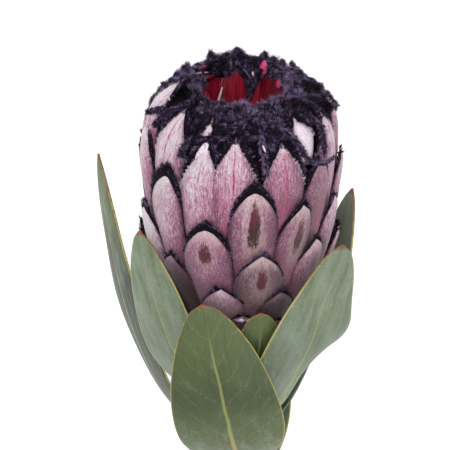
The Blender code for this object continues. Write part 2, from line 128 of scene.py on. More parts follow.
# The bracts on the front. First the form: azimuth in degrees, tip height, length, width, lift
# and how far the tip leans round the head. Then the looks, mostly from 0 to 1: how mauve, which
# below -0.45 is white, how strong and how long its brown blotch, its crimson midline, how dusky,
# how pointed and white its tip, and how broad its beard is on each side.
FRONT_BRACTS = (
    (-50.0, 19.0, 17.0, 12.0, 0.0, 0.0, 0.6, 0.2, 0.3, 0.0, 0.8, 0.0, 0.2, 0.2),
    (2.0, 17.5, 16.0, 13.0, 0.0, 0.0, 0.6, 0.0, 0.3, 0.0, 0.9, 0.0, 0.2, 0.2),
    (26.0, 25.5, 21.0, 12.5, 0.0, 0.0, 0.9, 0.1, 0.3, 0.0, 1.0, 0.0, 0.3, 0.3),
    (-11.5, 28.0, 23.0, 14.0, 0.1, 0.3, 0.5, 0.0, 0.3, 0.1, 0.75, 0.2, 0.7, 0.6),
    (-45.0, 36.5, 28.0, 13.0, 0.0, 1.0, 0.6, 0.1, 0.3, 0.0, 1.0, 0.1, 0.4, 0.4),
    (12.5, 40.0, 29.0, 15.5, 0.2, 0.0, 0.9, 1.0, 0.5, 0.0, 0.8, 0.0, 0.7, 0.6),
    (-67.0, 49.5, 31.0, 12.0, 0.2, 1.0, -0.1, 0.1, 0.2, 0.0, 0.0, 0.2, 0.8, 0.9),
    (-20.5, 49.5, 32.0, 15.6, 0.3, 1.2, 0.7, 1.0, 0.35, 0.0, 0.2, 0.1, 1.0, 0.95),
    (34.0, 55.5, 34.0, 12.5, 0.1, 1.8, 0.92, 0.9, 0.75, 0.0, 0.35, 0.1, 0.9, 0.7),
    (67.0, 52.5, 32.0, 11.0, 0.1, -0.5, 0.45, 0.4, 0.4, 0.1, 0.3, 0.1, 0.75, 0.6),
    (-51.0, 64.0, 36.0, 14.5, 0.3, 3.9, 0.26, 0.35, 0.25, 0.1, 0.15, 0.3, 1.5, 1.3),
    (8.0, 62.5, 36.0, 15.4, 0.5, 0.0, 0.7, 1.0, 1.0, 0.1, 0.15, 0.1, 1.2, 1.0),
    (53.0, 67.5, 34.0, 13.0, 0.0, -1.0, 1.0, 0.1, 0.3, 0.5, 0.3, 0.4, 1.1, 0.8),
    (-77.0, 75.5, 39.0, 13.0, 0.2, 1.5, 0.28, 0.0, 0.3, 0.2, 0.0, 0.6, 0.3, 1.4),
    (-25.5, 75.0, 38.0, 13.5, 0.2, 2.6, 0.25, 0.0, 0.3, 0.35, 0.0, 0.8, 1.4, 1.3),
    (-3.5, 78.0, 38.0, 14.5, 1.1, -0.2, 0.4, 0.0, 0.3, 1.0, 0.0, 1.0, 1.0, 1.1),
    (27.5, 75.5, 36.0, 14.5, 0.6, -2.2, 0.72, 0.0, 0.3, 0.85, 0.0, 0.9, 1.1, 1.6),
    (-50.5, 83.0, 36.0, 13.5, 0.5, 2.6, 0.14, 0.0, 0.3, 0.8, 0.0, 0.9, 1.2, 1.3),
    (-24.0, 82.2, 30.0, 7.6, 0.6, 1.4, -0.8, 0.0, 0.3, 0.1, 0.0, 1.0, 1.3, 1.3),
    (41.5, 81.2, 14.0, 8.4, 0.8, -3.0, -0.8, 0.0, 0.3, 0.1, 0.0, 1.3, 1.3, 1.3),
    (68.0, 79.6, 37.0, 13.5, 0.3, -3.2, 0.36, 0.0, 0.3, 0.4, 0.0, 0.9, 1.2, 0.8),
    (-74.0, 88.5, 24.0, 9.5, 2.9, 2.6, 0.05, 0.0, 0.3, 0.2, 0.0, 0.8, 0.5, 1.1),
    (53.5, 72.5, 22.0, 7.0, 0.2, 0.0, 1.0, 0.0, 0.3, 1.0, 0.0, 0.1, 0.3, 0.3),
    (88.0, 81.0, 28.0, 9.0, 0.0, -2.0, 0.5, 0.0, 0.3, 0.2, 0.0, 0.9, 0.7, 0.7),
    (-55.0, 17.8, 3.0, 3.6, 1.6, 0.0, 0.1, 0.0, 0.3, 0.0, 0.0, 0.9, 0.0, 0.0),
    (1.0, 18.0, 2.6, 4.6, 1.8, 0.0, 0.2, 0.0, 0.3, 0.0, 0.1, 0.9, 0.0, 0.0),
    (6.0, 17.4, 2.2, 3.2, 1.5, 0.0, 0.2, 0.0, 0.3, 0.0, 0.1, 0.9, 0.0, 0.0),
    (88.0, 63.5, 35.0, 13.5, -0.2, -1.0, 0.6, 0.5, 0.6, 0.2, 0.1, 0.3, 0.45, 0.3),
    (-105.0, 64.5, 36.0, 14.0, -0.2, 1.0, 0.4, 0.5, 0.6, 0.2, 0.1, 0.3, 0.5, 0.5),
    (-97.5, 77.0, 38.0, 13.5, -0.3, 0.5, 0.35, 0.0, 0.3, 0.5, 0.0, 0.9, 0.8, 0.8),
)
# The rows round the sides and back: tip height, length, width, first azimuth, how many, then
# the same looks up to the point of the tip, and the breadth of the beards. Round the head they
# stand a step apart, and their azimuths, tips and widths are drawn a little off.
BACK_ROWS = (
    (26.0, 21.0, 14.0, 62.0, 6, 0.6, 0.3, 0.3, 0.0, 0.8, 0.0, 0.35),
    (38.0, 28.0, 14.5, 85.0, 5, 0.6, 0.9, 0.5, 0.0, 0.5, 0.1, 0.45),
    (51.5, 32.0, 14.5, 108.0, 4, 0.5, 0.9, 0.6, 0.0, 0.25, 0.1, 0.6),
    (64.5, 36.0, 14.5, 134.0, 3, 0.5, 0.7, 0.7, 0.2, 0.1, 0.3, 0.8),
    (75.5, 37.0, 14.0, 108.0, 4, 0.35, 0.0, 0.3, 0.9, 0.0, 0.9, 1.1),
    (80.5, 35.0, 13.0, 136.0, 3, 0.2, 0.0, 0.3, 0.7, 0.0, 1.0, 1.2),
    (41.5, 28.0, 13.0, 50.0, 1, 0.6, 0.5, 0.4, 0.0, 0.4, 0.1, 0.5),
    (14.0, 13.0, 12.5, 30.0, 7, 0.7, 0.0, 0.3, 0.0, 0.9, 0.0, 0.25),
    (7.0, 8.5, 11.0, 55.0, 6, 0.7, 0.0, 0.3, 0.0, 0.9, 0.0, 0.2),
)
ROW_STEP = 46.0
AZIMUTH_JITTER = 3.0
TIP_JITTER = 1.2
WIDTH_JITTER = 0.05
FORM = ("azimuth", "tip", "length", "width", "lift", "lean")
LOOKS = ("mauve", "blotch", "blotch_long", "midline", "dusk", "point", "beard_left", "beard_right")

# The beard of a bract: the felt reaches past the bract's tip and sides and swells at its edge
BEARD_TIP = 2.4
BEARD_SIDE = 1.1
BEARD_SWELL = 0.45
BEARD_DEPTH = 0.35
BEARD_LOOSE = 0.25
LEAST_MATTED = 0.65
FELT_ROWS = 19
FELT_COLUMNS = 17

# The hairs of the fringes and the pale down: the degrees that they fan out by from the tip to
# the sides, how far each strays from that, the clumps' sizes in millimetres, how far the clumps'
# directions stray, and how far their hairs are drawn to their middle, with the chance of each
FRINGE_FAN = 58
DOWN_FAN = 50
FAN_SCATTER = 16
FRINGE_CLUMP = 0.75
FRINGE_CLUMP_DEPTH = 0.8
FRINGE_STRAY = 0.38
FRINGE_PULLS = (0.1, 0.55)
FRINGE_CHANCES = (0.35, 0.65)
DOWN_CLUMP = 0.6
DOWN_STRAY = 0.25
DOWN_PULL = 0.35
DOWN_WIDTH = 0.7

# How far each bract's, strip's and floret's noise is taken from that of the one before
BRACT_NOISE_STEP = 7.31
STRIP_NOISE_STEP = 5.17
FLORET_NOISE_STEP = 0.37

# The matted beards round the mouth: the line that their surface follows, from outside over the
# rim into the cup, as radius and height, and its length
WOOL_PROFILE = (
    (27.6, 72.0), (27.8, 75.0), (27.2, 78.5), (25.4, 81.6), (22.8, 84.2), (19.9, 86.2),
    (17.2, 87.0), (15.3, 86.0), (14.4, 84.2), (14.3, 82.2), (14.7, 80.8),
)
WOOL_LENGTH = 27.7

# How much farther out they stand on the front, by their height, the azimuths between which they
# do, and how much lower the rim is there. Then how far the rim is pressed in at its sides, over
# which heights, and how far the surface lies inside its line.
WOOL_FRONT = (
    (72.0, 1.6), (75.0, 2.2), (77.5, 3.0), (80.0, 3.4), (82.0, 2.6), (84.5, 1.2), (87.0, 0.2),
)
WOOL_FRONT_EDGES = (-38.0, -31.0, 27.0, 35.0)
WOOL_FRONT_DROP = 2.4
WOOL_SQUEEZE = 4.2
WOOL_SQUEEZE_HEIGHTS = (79.5, 84)
WOOL_SINK = 1.0
WOOL_ROWS = 44
WOOL_COLUMNS = 240

# Where the mat closes below itself, as radius and height
WOOL_UNDERSIDE = ((18.5, 78.5), (24.5, 74.0))

# The rolled lumps on the matted beards: how many, and the least and the most of their azimuth,
# share along the line, tilt, length, width and height
WOOL_LUMPS = 250
LUMP_LEAST = (0, -0.02, -1.2, 1.6, 1.0, 0.4)
LUMP_MOST = (math.tau, 1, 1.2, 3.8, 1.9, 2.4)

# Tufts that stand up on the rim: azimuth in degrees, share along the line, length, width and
# height
PEAKS = (
    (-151.0, 0.60, 2.0, 1.7, 3.9), (-175.0, 0.62, 1.8, 2.2, 3.6), (160.0, 0.62, 2.2, 1.6, 2.9),
    (137.0, 0.60, 2.0, 1.5, 3.0), (118.0, 0.58, 2.0, 1.4, 2.8), (-121.0, 0.55, 1.8, 1.6, 2.8),
    (88.0, 0.20, 2.6, 2.2, 3.4), (-100.0, 0.50, 1.8, 1.5, 2.4), (66.0, 0.52, 2.2, 1.8, 2.6),
    (-14.0, 0.62, 2.4, 1.7, 2.2), (6.0, 0.55, 3.6, 2.4, 2.9), (24.0, 0.66, 2.2, 1.7, 2.5),
)

# Hollows in the matted beards, where something bare shows: azimuth, height, half the width and
# the height, depth, and 1 on the inner side of the rim
HOLLOWS = (
    (-4.6, 74.8, 2.0, 4.6, 3.4, 0), (-22.0, 72.0, 1.8, 3.4, 2.6, 0),
    (24.5, 73.2, 2.2, 4.2, 3.0, 0), (-50.0, 77.5, 4.2, 6.0, 3.0, 0),
    (-24.5, 80.4, 2.3, 1.6, 3.0, 0), (42.0, 77.8, 3.0, 4.4, 3.2, 0),
    (71.0, 76.0, 4.0, 5.5, 2.4, 0), (-69.0, 84.5, 4.0, 4.0, 2.2, 0),
    (155.5, 84.0, 1.5, 2.4, 2.4, 1), (-134.0, 84.6, 2.6, 1.1, 2.2, 1),
    (-137.0, 82.0, 2.6, 0.9, 2.0, 1), (131.0, 80.6, 1.7, 2.0, 2.0, 1),
    (-173.0, 80.6, 1.6, 2.6, 2.0, 1),
)

# A hollow this deep has no hairs
BARE_DEPTH = 1.0

# Rolled beards that stand out: how thick at either end, how light, and their places as azimuth
# in degrees, radius and height
ROLLS = (
    (1.5, 1.3, 0.62, (
        (11.0, 29.4, 80.5), (11.0, 30.4, 77.5), (12.5, 31.2, 73.0), (14.5, 31.4, 66.5))),
    (1.7, 1.2, 0.36, (
        (18.0, 28.8, 82.2), (25.0, 29.6, 80.2), (31.0, 30.6, 77.0), (35.5, 31.4, 73.0),
        (39.5, 32.0, 69.4))),
    (1.1, 0.8, 0.4, (
        (38.5, 32.1, 69.8), (45.5, 32.9, 67.6), (52.0, 33.5, 66.8), (59.0, 33.5, 67.6))),
    (1.6, 1.4, 0.3, (
        (-77.0, 29.6, 77.4), (-72.0, 29.2, 78.8), (-66.0, 28.8, 80.2), (-60.0, 28.0, 81.8))),
    (1.5, 1.2, 0.3, (
        (41.0, 29.5, 83.4), (50.5, 30.6, 78.5), (53.0, 31.4, 73.0), (53.0, 31.6, 69.0))),
    (2.2, 0.8, 0.25, (
        (184.0, 14.4, 84.5), (172.0, 13.8, 80.5), (170.0, 13.8, 76.5), (170.0, 14.6, 72.5))),
    (1.8, 0.7, 0.25, (
        (158.0, 14.2, 84.0), (162.0, 13.8, 80.0), (168.0, 13.9, 76.5), (169.0, 14.4, 74.0))),
    (1.6, 1.2, 0.42, (
        (-38.0, 30.0, 70.0), (-35.0, 30.2, 74.0), (-30.0, 29.8, 77.0), (-21.0, 29.6, 78.0))),
    (1.5, 1.2, 0.3, (
        (-66.0, 29.4, 75.0), (-62.0, 27.6, 79.0), (-54.0, 26.2, 82.4), (-45.0, 25.4, 84.0))),
)
ROLL_STATIONS = 16
ROLL_SIDES = 9

# The hairs of the mouth and of the rolls: the clumps' sizes in millimetres, the radius that the
# mouth's are counted at, how far their directions stray, how far their hairs are drawn to their
# middle, with the chance of each, how deep the mouth's hairs are rooted, and the step that its
# surface's normals are measured over
MOUTH_CLUMP = 1.15
MOUTH_RADIUS = 22
MOUTH_STRAY = 0.50
MOUTH_PULLS = (0.05, 0.6)
MOUTH_CHANCES = (0.3, 0.7)
ROLL_CLUMP = 0.8
ROLL_STRAY = 0.45
ROLL_PULL = 0.5
WOOL_ROOT_DEPTH = 0.35
NORMAL_STEP = 0.004

# Small bare tips and faces between the beards: azimuth, radius and height of either end, half
# the width, how light its red and how white it is
SLIVERS = (
    ((-154.0, 13.8, 78.0), (-148.0, 14.2, 71.0), 0.4, 1.0, 1.0),
    ((-139.0, 16.8, 82.0), (-139.0, 15.2, 70.0), 2.3, 0.78, 0.02),
    ((-162.0, 16.6, 82.5), (-161.0, 15.4, 70.0), 2.0, 0.75, 0.0),
    ((-60.0, 25.6, 84.0), (-59.0, 26.2, 85.4), 0.3, 1.0, 1.0),
    ((165.0, 12.9, 81.8), (166.0, 12.6, 83.4), 0.3, 1.0, 1.0),
    ((12.5, 31.9, 75.0), (11.0, 31.6, 77.2), 0.3, 1.0, 0.7),
    ((-110.0, 15.0, 85.6), (-133.0, 14.5, 84.0), 0.35, 1.0, 0.35),
    ((-116.0, 15.2, 86.6), (-132.0, 15.0, 86.2), 0.4, 0.9, 0.0),
    ((157.0, 15.3, 80.6), (155.0, 16.2, 86.0), 1.6, 1.1, 0.0),
    ((133.0, 15.2, 78.6), (130.0, 15.4, 82.6), 1.6, 1.0, 0.0),
    ((107.0, 14.2, 80.2), (105.0, 14.2, 82.0), 0.5, 0.8, 0.1),
)

# How many strips line the cup and how thick they are, and how many florets it holds
LINING_STRIPS = 15
STRIP_THICKNESS = 0.3
FLORETS = 90
FLORET_SIDES = 7

# The stem: height and radius along it, and how far its middle strays to the side and back
STEM_ROUTE = (
    (-1.3, 6.6, 0.0, 0.0), (-5.0, 5.2, 0.0, 0.0), (-12.0, 4.6, 0.0, 0.0), (-30.0, 4.4, 0.1, 0.1),
    (-50.0, 4.4, 0.4, 0.4), (-70.0, 4.6, 0.5, 1.2), (-96.0, 4.9, 0.0, 2.2),
)
STEM_ENDS = (-95.9, -1.4)
STEM_ROWS = 120
STEM_COLUMNS = 36
STEM_END_RINGS = 6
STEM_RADIUS = 4.5
STEM_LENGTH = 95

# The scars of the leaves on it
SCAR_RADIUS = 4.4
SCAR_WIDTH = 2.6
SCAR_HEIGHT = 2.2
SCAR_RISE = 0.30

# The leaves, as their solids have them, and three looks: how blue and pale the bloom on the
# leaf is, how dark its lower half, and how strong the veins. Folds are waves of the blade. Slim
# draws in its right side, seen from outside, or its left one where it is negative, and curl
# bends the right one under.
LEAVES = {
    "leaf_front": dict(
        height=-44, bends=((0, -28, -37), (-4, -40, -12)), tip=(-11.5, -35, 26),
        width=34.5, faces=(0, -8), cup=0.12, widest=0.55, tip_form=0.53, base_form=0.5,
        looks=(0.1, 0.6, 0.6), folds=0.2),
    "leaf_right": dict(
        height=-32, bends=((9, -15, -28), (19.5, -28.5, -7)), tip=(32, -19, 38.5),
        width=34, faces=(32, 42), cup=0.06, widest=0.66, tip_form=0.53, base_form=1.25,
        looks=(0.72, 0.3, 0.6), folds=0.8, slim=0.5, curl=6.0),
    "leaf_left": dict(
        height=-27, bends=((-10, -14, -22), (-23.5, -23.5, -3)), tip=(-31, -16.5, 42),
        width=27, faces=(-38, -45), cup=0.10, widest=0.64, tip_form=0.61, base_form=1.2,
        looks=(0.74, 0.1, 0.5), folds=0.25),
    "leaf_far_left": dict(
        height=-40, bends=((-23, 5, -39), (-38.5, 4, -10)), tip=(-44, 3, 59.5),
        width=25, faces=(-76, -62), cup=0.15, widest=0.55, tip_form=0.76, base_form=0.9,
        looks=(0.4, 1.7, 0.2)),
    # Its bloom is set stronger than the others': painted light on a leaf that lies in the head's
    # shade
    "leaf_far_right": dict(
        height=-42, bends=((12, 8.5, -42), (26, 12.5, -15)), tip=(35.9, 10, 44.5),
        width=24, faces=(118, 128), cup=0.10, widest=0.60, tip_form=0.68, base_form=1.1,
        looks=(1.3, 1.0, 0.5), slim=-0.85),
    "leaf_middle": dict(
        height=-22, bends=((2.5, -15, -20), (6, -27.5, -8)), tip=(6.5, -30, 20.5),
        width=20.5, faces=(10, 12), cup=0.15, widest=0.58, tip_form=0.47, base_form=0.9,
        looks=(0.0, 2.2, 0.4)),
    "leaf_back_left": dict(
        height=-54, bends=((-5, 17, -50), (-15, 24.4, -18)), tip=(-25, 25.6, 36),
        width=23, faces=(-170, -150), cup=0.10, widest=0.55, tip_form=0.68, base_form=0.8,
        looks=(0.4, 0.3, 0.8)),
    "leaf_back_right": dict(
        height=-31, bends=((-1, 17, -28), (1, 25.2, -12)), tip=(8, 26.8, 14),
        width=18, faces=(178, 172), cup=0.05, widest=0.55, tip_form=0.68, base_form=1.0,
        looks=(0.4, 0.3, 0.8)),
    "leaf_low_back": dict(
        height=-62, bends=((3, 16, -60), (8, 24.6, -44)), tip=(14, 25.4, -8),
        width=20, faces=(172, 168), cup=0.08, widest=0.55, tip_form=0.68, base_form=1.0,
        looks=(0.4, 0.3, 0.8)),
}
LEAF_ROWS = 60
LEAF_COLUMNS = 27
LEAF_STALK_WIDTH = 4.4

# The stage, in metres: the table, what the lights aim at, and for each light its share of the
# key's power, its size and its place
TABLE_SIZE = 8.0
TABLE_GLOW = 1.1
SENSOR_WIDTH = 36
LIGHT_AIM = Vector((0, 0.02, 0.02))
LIGHTS = {
    "key": (1.0, 0.55, (-0.20, 0.50, 0.85)),
    "fill": (0.3, 0.7, (0.5, -0.3, 0.6)),
    "top": (0.16, 0.5, (0.12, -0.10, 0.85)),
}


# Settings that a user would change

def colour(name, description, red, green, blue):
    """A colour setting from sRGB values of 0 to 255, kept as linear light."""
    share = np.array([red, green, blue]) / 255
    linear = np.where(share > 0.04045, ((share + 0.055) / 1.055) ** 2.4, share / 12.92)
    return bpy.props.FloatVectorProperty(
        name=name, description=description, subtype="COLOR", size=3, min=0, max=1,
        default=tuple(float(value) for value in linear))


def distance(name, description, millimetres):
    """A distance setting, kept in metres."""
    return bpy.props.FloatProperty(
        name=name, description=description, default=millimetres * MM, min=0, unit="LENGTH",
        precision=5)


def number(name, description, default):
    """A setting that counts something."""
    return bpy.props.IntProperty(name=name, description=description, default=default, min=1)


class ProteaHead(bpy.types.PropertyGroup):
    """Sizes and colours of the bracts."""

    thickness: distance("Bract thickness", "Thickness in the middle of a bract", 1.1)
    white: colour("White", "The bare white points", 240, 228, 238)
    silver: colour("Silver", "Silky down on the palest bracts", 214, 206, 213)
    pink: colour("Pink", "The upper bracts", 189, 136, 162)
    mauve: colour("Mauve", "The lower bracts and the bracts' bases", 131, 83, 106)
    maroon: colour("Maroon", "The edges and the shade between bracts", 74, 20, 42)
    crimson: colour("Crimson", "The midlines", 172, 36, 74)
    cream: colour("Cream", "The down under the tip of a blotched bract", 196, 178, 172)
    brown: colour("Brown", "The blotches", 54, 29, 34)
    rust: colour("Rust", "The redder blotches", 92, 30, 44)
    dusk: colour("Dusk", "The lowest bracts", 104, 80, 84)


class ProteaBeards(bpy.types.PropertyGroup):
    """Sizes and colours of the fringes and beards."""

    fringe_hairs: number("Fringe hairs", "Hairs on the beard of one bract", 1450)
    mouth_hairs: number("Mouth hairs", "Hairs on the beards round the mouth", 52000)
    roll_hairs: number(
        "Roll hairs", "Hairs for a millimetre of a roll's length and of its ends' widths", 50)
    down_hairs: number("Down hairs", "Pale hairs on the edge of one bract", 380)
    hair_length: distance("Hair length", "The longest hairs of the beards", 1.5)
    hair_width: distance("Hair width", "Width of a hair at its root", 0.14)
    black: colour("Black", "The hairs at their roots", 18, 11, 22)
    purple: colour("Purple", "The lighter hairs at their tips", 138, 118, 156)
    down: colour("Down", "The pale hairs on the edges of the bracts", 226, 206, 216)


class ProteaCup(bpy.types.PropertyGroup):
    """Colours inside the cup."""

    crimson: colour("Crimson", "The inner faces of the bracts", 150, 14, 42)
    rose: colour("Rose", "The lighter streaks on them", 214, 70, 124)
    white: colour("White", "Their bare white tips", 240, 232, 234)
    floret: colour("Floret", "The florets", 130, 24, 50)
    floret_tip: colour("Floret tip", "The dark tips of the florets", 40, 18, 34)


class ProteaLeaves(bpy.types.PropertyGroup):
    """Sizes and colours of the leaves."""

    thickness: distance("Leaf thickness", "Thickness of the blade", 0.7)
    green: colour("Green", "The olive of a leaf without its bloom", 92, 104, 66)
    bloom: colour("Bloom", "The pale waxy bloom", 140, 154, 134)
    deep: colour("Deep green", "The dark middle of a leaf in shade", 56, 70, 52)
    vein: colour("Vein", "The midrib", 168, 172, 104)
    tan: colour("Tan", "The foot of the leaf and its midrib", 190, 158, 102)
    margin: colour("Margin", "The horny edge", 204, 186, 112)
    callus: colour("Callus", "The hard tip", 140, 84, 46)


class ProteaStem(bpy.types.PropertyGroup):
    """Colours of the stem."""

    bark: colour("Bark", "The green bark", 122, 126, 74)
    brown: colour("Brown bark", "The bark near the cut", 128, 98, 66)
    wood: colour("Wood", "The wood on the cut face", 214, 196, 150)
    pith: colour("Pith", "The middle of the cut face", 168, 140, 96)


class ProteaStage(bpy.types.PropertyGroup):
    """The table, the lights and the camera."""

    lens: bpy.props.FloatProperty(
        name="Lens", description="Focal length on a 36 mm sensor", default=225, min=1,
        subtype="DISTANCE_CAMERA")
    camera_distance: distance("Camera distance", "From the camera to the flower", 900)
    elevation: bpy.props.FloatProperty(
        name="Elevation", description="Camera over the plane across the upright flower",
        default=math.radians(25), subtype="ANGLE")
    key: bpy.props.FloatProperty(
        name="Key light", description="Power of the large light", default=5.9, min=0, unit="POWER")
    sky: bpy.props.FloatProperty(
        name="Sky", description="Strength of the even light from all round", default=0.42, min=0)
    table: colour("Table", "The table top", 212, 212, 212)


# Forms

def smooth(value, start, end):
    """0 before start and 1 past end, with a cubic ease between."""
    share = np.clip((value - start) / (end - start), 0, 1)
    return share * share * (3 - 2 * share)


def unit(vectors):
    """The vectors at length 1."""
    return vectors / np.maximum(np.linalg.norm(vectors, axis=-1, keepdims=True), 1e-12)


def smooth_profile(stations, height):
    """The radius at a height: cubic Hermite pieces through the stations, with the stations' own
    differences as slopes."""
    heights, radii = np.array(stations).T
    slopes = np.gradient(radii, heights)
    height = np.clip(height, heights[0], heights[-1])
    k = np.clip(np.searchsorted(heights, height) - 1, 0, len(heights) - 2)
    span = heights[k + 1] - heights[k]
    s = (height - heights[k]) / span
    return (
        radii[k] * (1 + 2 * s) * (1 - s) ** 2
        + radii[k + 1] * s * s * (3 - 2 * s)
        + span * (slopes[k] * s * (1 - s) ** 2 - slopes[k + 1] * s * s * (1 - s))
    )


def signed_power(value, power):
    """The power of the value's size, with the value's sign."""
    return np.sign(value) * np.abs(value) ** power


def head_radius(height):
    """The head's radius over the bracts at a height."""
    return smooth_profile(HEAD_PROFILE, height)


def around(azimuth, radius, height):
    """Points (radius sin azimuth, -radius cos azimuth, height): side, back, height."""
    azimuth, radius, height = np.broadcast_arrays(azimuth, radius, height)
    return np.stack([radius * np.sin(azimuth), -radius * np.cos(azimuth), height], axis=-1)


def lay_down(points):
    """The upright flower's millimetres as the frame's metres: the head's top sways a little to
    one side, then a turn about the side axis by the tilt less a quarter turn, then the move. A
    height z over the table becomes c plus half of z - c + sqrt((z - c)^2 + w^2), which never
    goes below c."""
    side, back, height = points[..., 0], points[..., 1], points[..., 2]
    tilt = math.radians(TILT)
    y = height * math.cos(tilt) + back * math.sin(tilt) + PLACE_Y
    z = height * math.sin(tilt) - back * math.cos(tilt) + AXIS_HEIGHT - TABLE_CLEAR
    z = 0.5 * (z + np.sqrt(z * z + TABLE_SOFTNESS ** 2)) + TABLE_CLEAR
    x = side + HEAD_SWAY * smooth(height, *SWAY_HEIGHTS) + PLACE_X
    return np.stack([x, y, z], axis=-1) * MM


class Form:
    """The points and faces of one piece, gathered from several shapes, with a value of each
    named kind at every point and a place on the bake map at every face's corner."""

    def __init__(self):
        self.points = []
        self.faces = []
        self.corners = []
        self.values = {}
        self.count = 0

    def add(self, points, faces, corners, **values):
        """One more shape, with its faces as grids of its points' numbers."""
        points = points.reshape(-1, 3)
        for grid, places in zip(faces, corners):
            self.faces.append(grid + self.count)
            self.corners.append(places)
        self.points.append(points)
        for name, value in values.items():
            self.values.setdefault(name, []).append(value.reshape(-1, 3))
        self.count += len(points)

    def piece(self, name, material, slot, replaced=(), flat=False):
        """The mesh object, which rides on the flower's one body."""
        mesh = bpy.data.meshes.new(name)
        points = lay_down(np.concatenate(self.points))
        mesh.vertices.add(len(points))
        mesh.vertices.foreach_set("co", points.ravel())
        loops = np.concatenate([grid.ravel() for grid in self.faces])
        sizes = np.concatenate([np.full(len(grid), grid.shape[1]) for grid in self.faces])
        mesh.loops.add(len(loops))
        mesh.loops.foreach_set("vertex_index", loops.astype(np.int32))
        mesh.polygons.add(len(sizes))
        starts = np.concatenate([[0], np.cumsum(sizes)[:-1]])
        mesh.polygons.foreach_set("loop_start", starts.astype(np.int32))
        mesh.polygons.foreach_set("use_smooth", np.full(len(sizes), not flat))
        mesh.update(calc_edges=True)
        for kind, value in self.values.items():
            values = mesh.attributes.new(kind, "FLOAT_VECTOR", "POINT")
            values.data.foreach_set("vector", np.concatenate(value).ravel())
        bake_map = mesh.uv_layers.new(name=BAKE_MAP)
        places = np.concatenate([places.reshape(-1, 2) for places in self.corners])
        bake_map.uv.foreach_set("vector", places.ravel())
        mesh.materials.append(material)
        item = bpy.data.objects.new(name, mesh)
        bpy.context.scene.collection.objects.link(item)
        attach(item, "root")
        if replaced:
            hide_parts(*replaced)
        return item


def shell_faces(rows, columns):
    """Quads of a closed shell of two grids, the outer one first, joined round their edge."""
    count = rows * columns
    index = np.arange(count).reshape(rows, columns)
    quads = np.stack([index[:-1, :-1], index[:-1, 1:], index[1:, 1:], index[1:, :-1]], axis=-1)
    outer = quads.reshape(-1, 4)
    ring = np.concatenate([index[0], index[1:, -1], index[-1, -2::-1], index[-2:0:-1, 0]])
    after = np.roll(ring, -1)
    rim = np.stack([after, ring, ring + count, after + count], axis=-1)
    return outer, outer[:, ::-1] + count, rim


def ring_walls(rows, columns, closed=False):
    """The points' numbers of a grid whose rows each close in a ring, and the quads between its
    rows, and between the last and the first where it is closed."""
    index = np.arange(rows * columns).reshape(rows, columns)
    if closed:
        index = np.concatenate([index, index[:1]])
    after = np.roll(index, -1, axis=1)
    quads = np.stack([index[:-1], after[:-1], after[1:], index[1:]], axis=-1)
    return index, quads.reshape(-1, 4)


def corner_board(rows, columns):
    """Every face's four corners on a board of rows by columns of faces."""
    v, u = np.meshgrid(np.arange(rows), np.arange(columns), indexing="ij")
    corners = [np.stack([u + du, v + dv], axis=-1) for du, dv in ((0, 0), (1, 0), (1, 1), (0, 1))]
    return np.stack(corners, axis=2).reshape(-1, 4, 2)


def vectors(shape, *columns):
    """Numbers or arrays, stretched to a shape and stacked as vectors."""
    return np.stack([np.broadcast_to(column, shape) for column in columns], axis=-1)


def add_shells(form, outer, inner, **values):
    """Adds thin shells, given as stacks of grids of points. A value is three columns, each a
    number or an array over the shells, rows and columns. On the bake map each shell has a cell
    of a square board, its outer face on the left and its inner one on the right of it."""
    shells, rows, columns = outer.shape[:3]
    front, back, rim = shell_faces(rows, columns)
    up = np.linspace(BOARD_EDGE, 1 - BOARD_EDGE, rows)
    v, u = np.meshgrid(up, np.linspace(0, 1, columns), indexing="ij")
    flat = np.stack([u, v], axis=-1).reshape(-1, 2)
    left = flat * (OUTER_WIDTH, 1) + (BOARD_EDGE, 0)
    right = flat * (INNER_WIDTH, 1) + (INNER_START, 0)
    outward = left + (left - left.mean(axis=0)) * RIM_REACH
    a, b = rim[:, 0], rim[:, 1]
    edge = np.stack([left[a], left[b], outward[b], outward[a]], axis=1)
    boards = [left[front], right[back - rows * columns], edge]
    shape = (shells, 2, rows, columns)
    grids = {
        name: vectors(shape, *[part[:, None] if np.ndim(part) == 3 else part for part in parts])
        for name, parts in values.items()}
    side = math.ceil(math.sqrt(shells))
    for k in range(shells):
        corner = np.array([k % side, k // side])
        form.add(
            np.stack([outer[k], inner[k]]), (front, back, rim),
            [(places + corner) / side for places in boards],
            **{name: grid[k] for name, grid in grids.items()})


def add_turned(form, points, **values):
    """Adds a grid of rings with a flat cap on the first and on the last."""
    rows, columns = points.shape[:2]
    index, quads = ring_walls(rows, columns)
    middle = np.full((1, columns, 2), 0.5)
    form.add(
        points, [quads, index[:1, ::-1], index[-1:]],
        [corner_board(rows - 1, columns) / (columns, rows - 1), middle, middle], **values)


def fuzz(form, root, tip, width, tint):
    """Adds closed spikes of four faces: three points round the root, and the tip. Tint places a
    hair across the bake map, and its length runs up it."""
    count = len(root)
    aim = unit(tip - root)
    across = unit(np.cross(aim, OBLIQUE))
    over = np.cross(aim, across)
    turns = np.arange(3) * math.tau / 3
    ring = across[:, None] * np.cos(turns)[:, None] + over[:, None] * np.sin(turns)[:, None]
    foot = root[:, None] + ring * 0.5 * width
    points = np.concatenate([foot, tip[:, None]], axis=1)
    sides = np.array([[0, 1, 3], [1, 2, 3], [2, 0, 3]])
    cap = np.array([[2, 1, 0]])
    start = (np.arange(count) * 4)[:, None, None]
    u = np.clip(tint, 0, 1)[:, None] * 0.98 + np.array([0, 1, 2, 1]) * HAIR_STEP
    places = np.stack([u, np.broadcast_to((0, 0, 0, 1.0), u.shape)], axis=-1)
    cap_places = np.stack([places[:, 0], places[:, 1], places[:, 1] * (1, 0) + (0, 0.02)], axis=1)
    form.add(
        points, [(grid[None] + start).reshape(-1, 3) for grid in (sides, cap)],
        [places[:, sides].reshape(-1, 3, 2), cap_places])


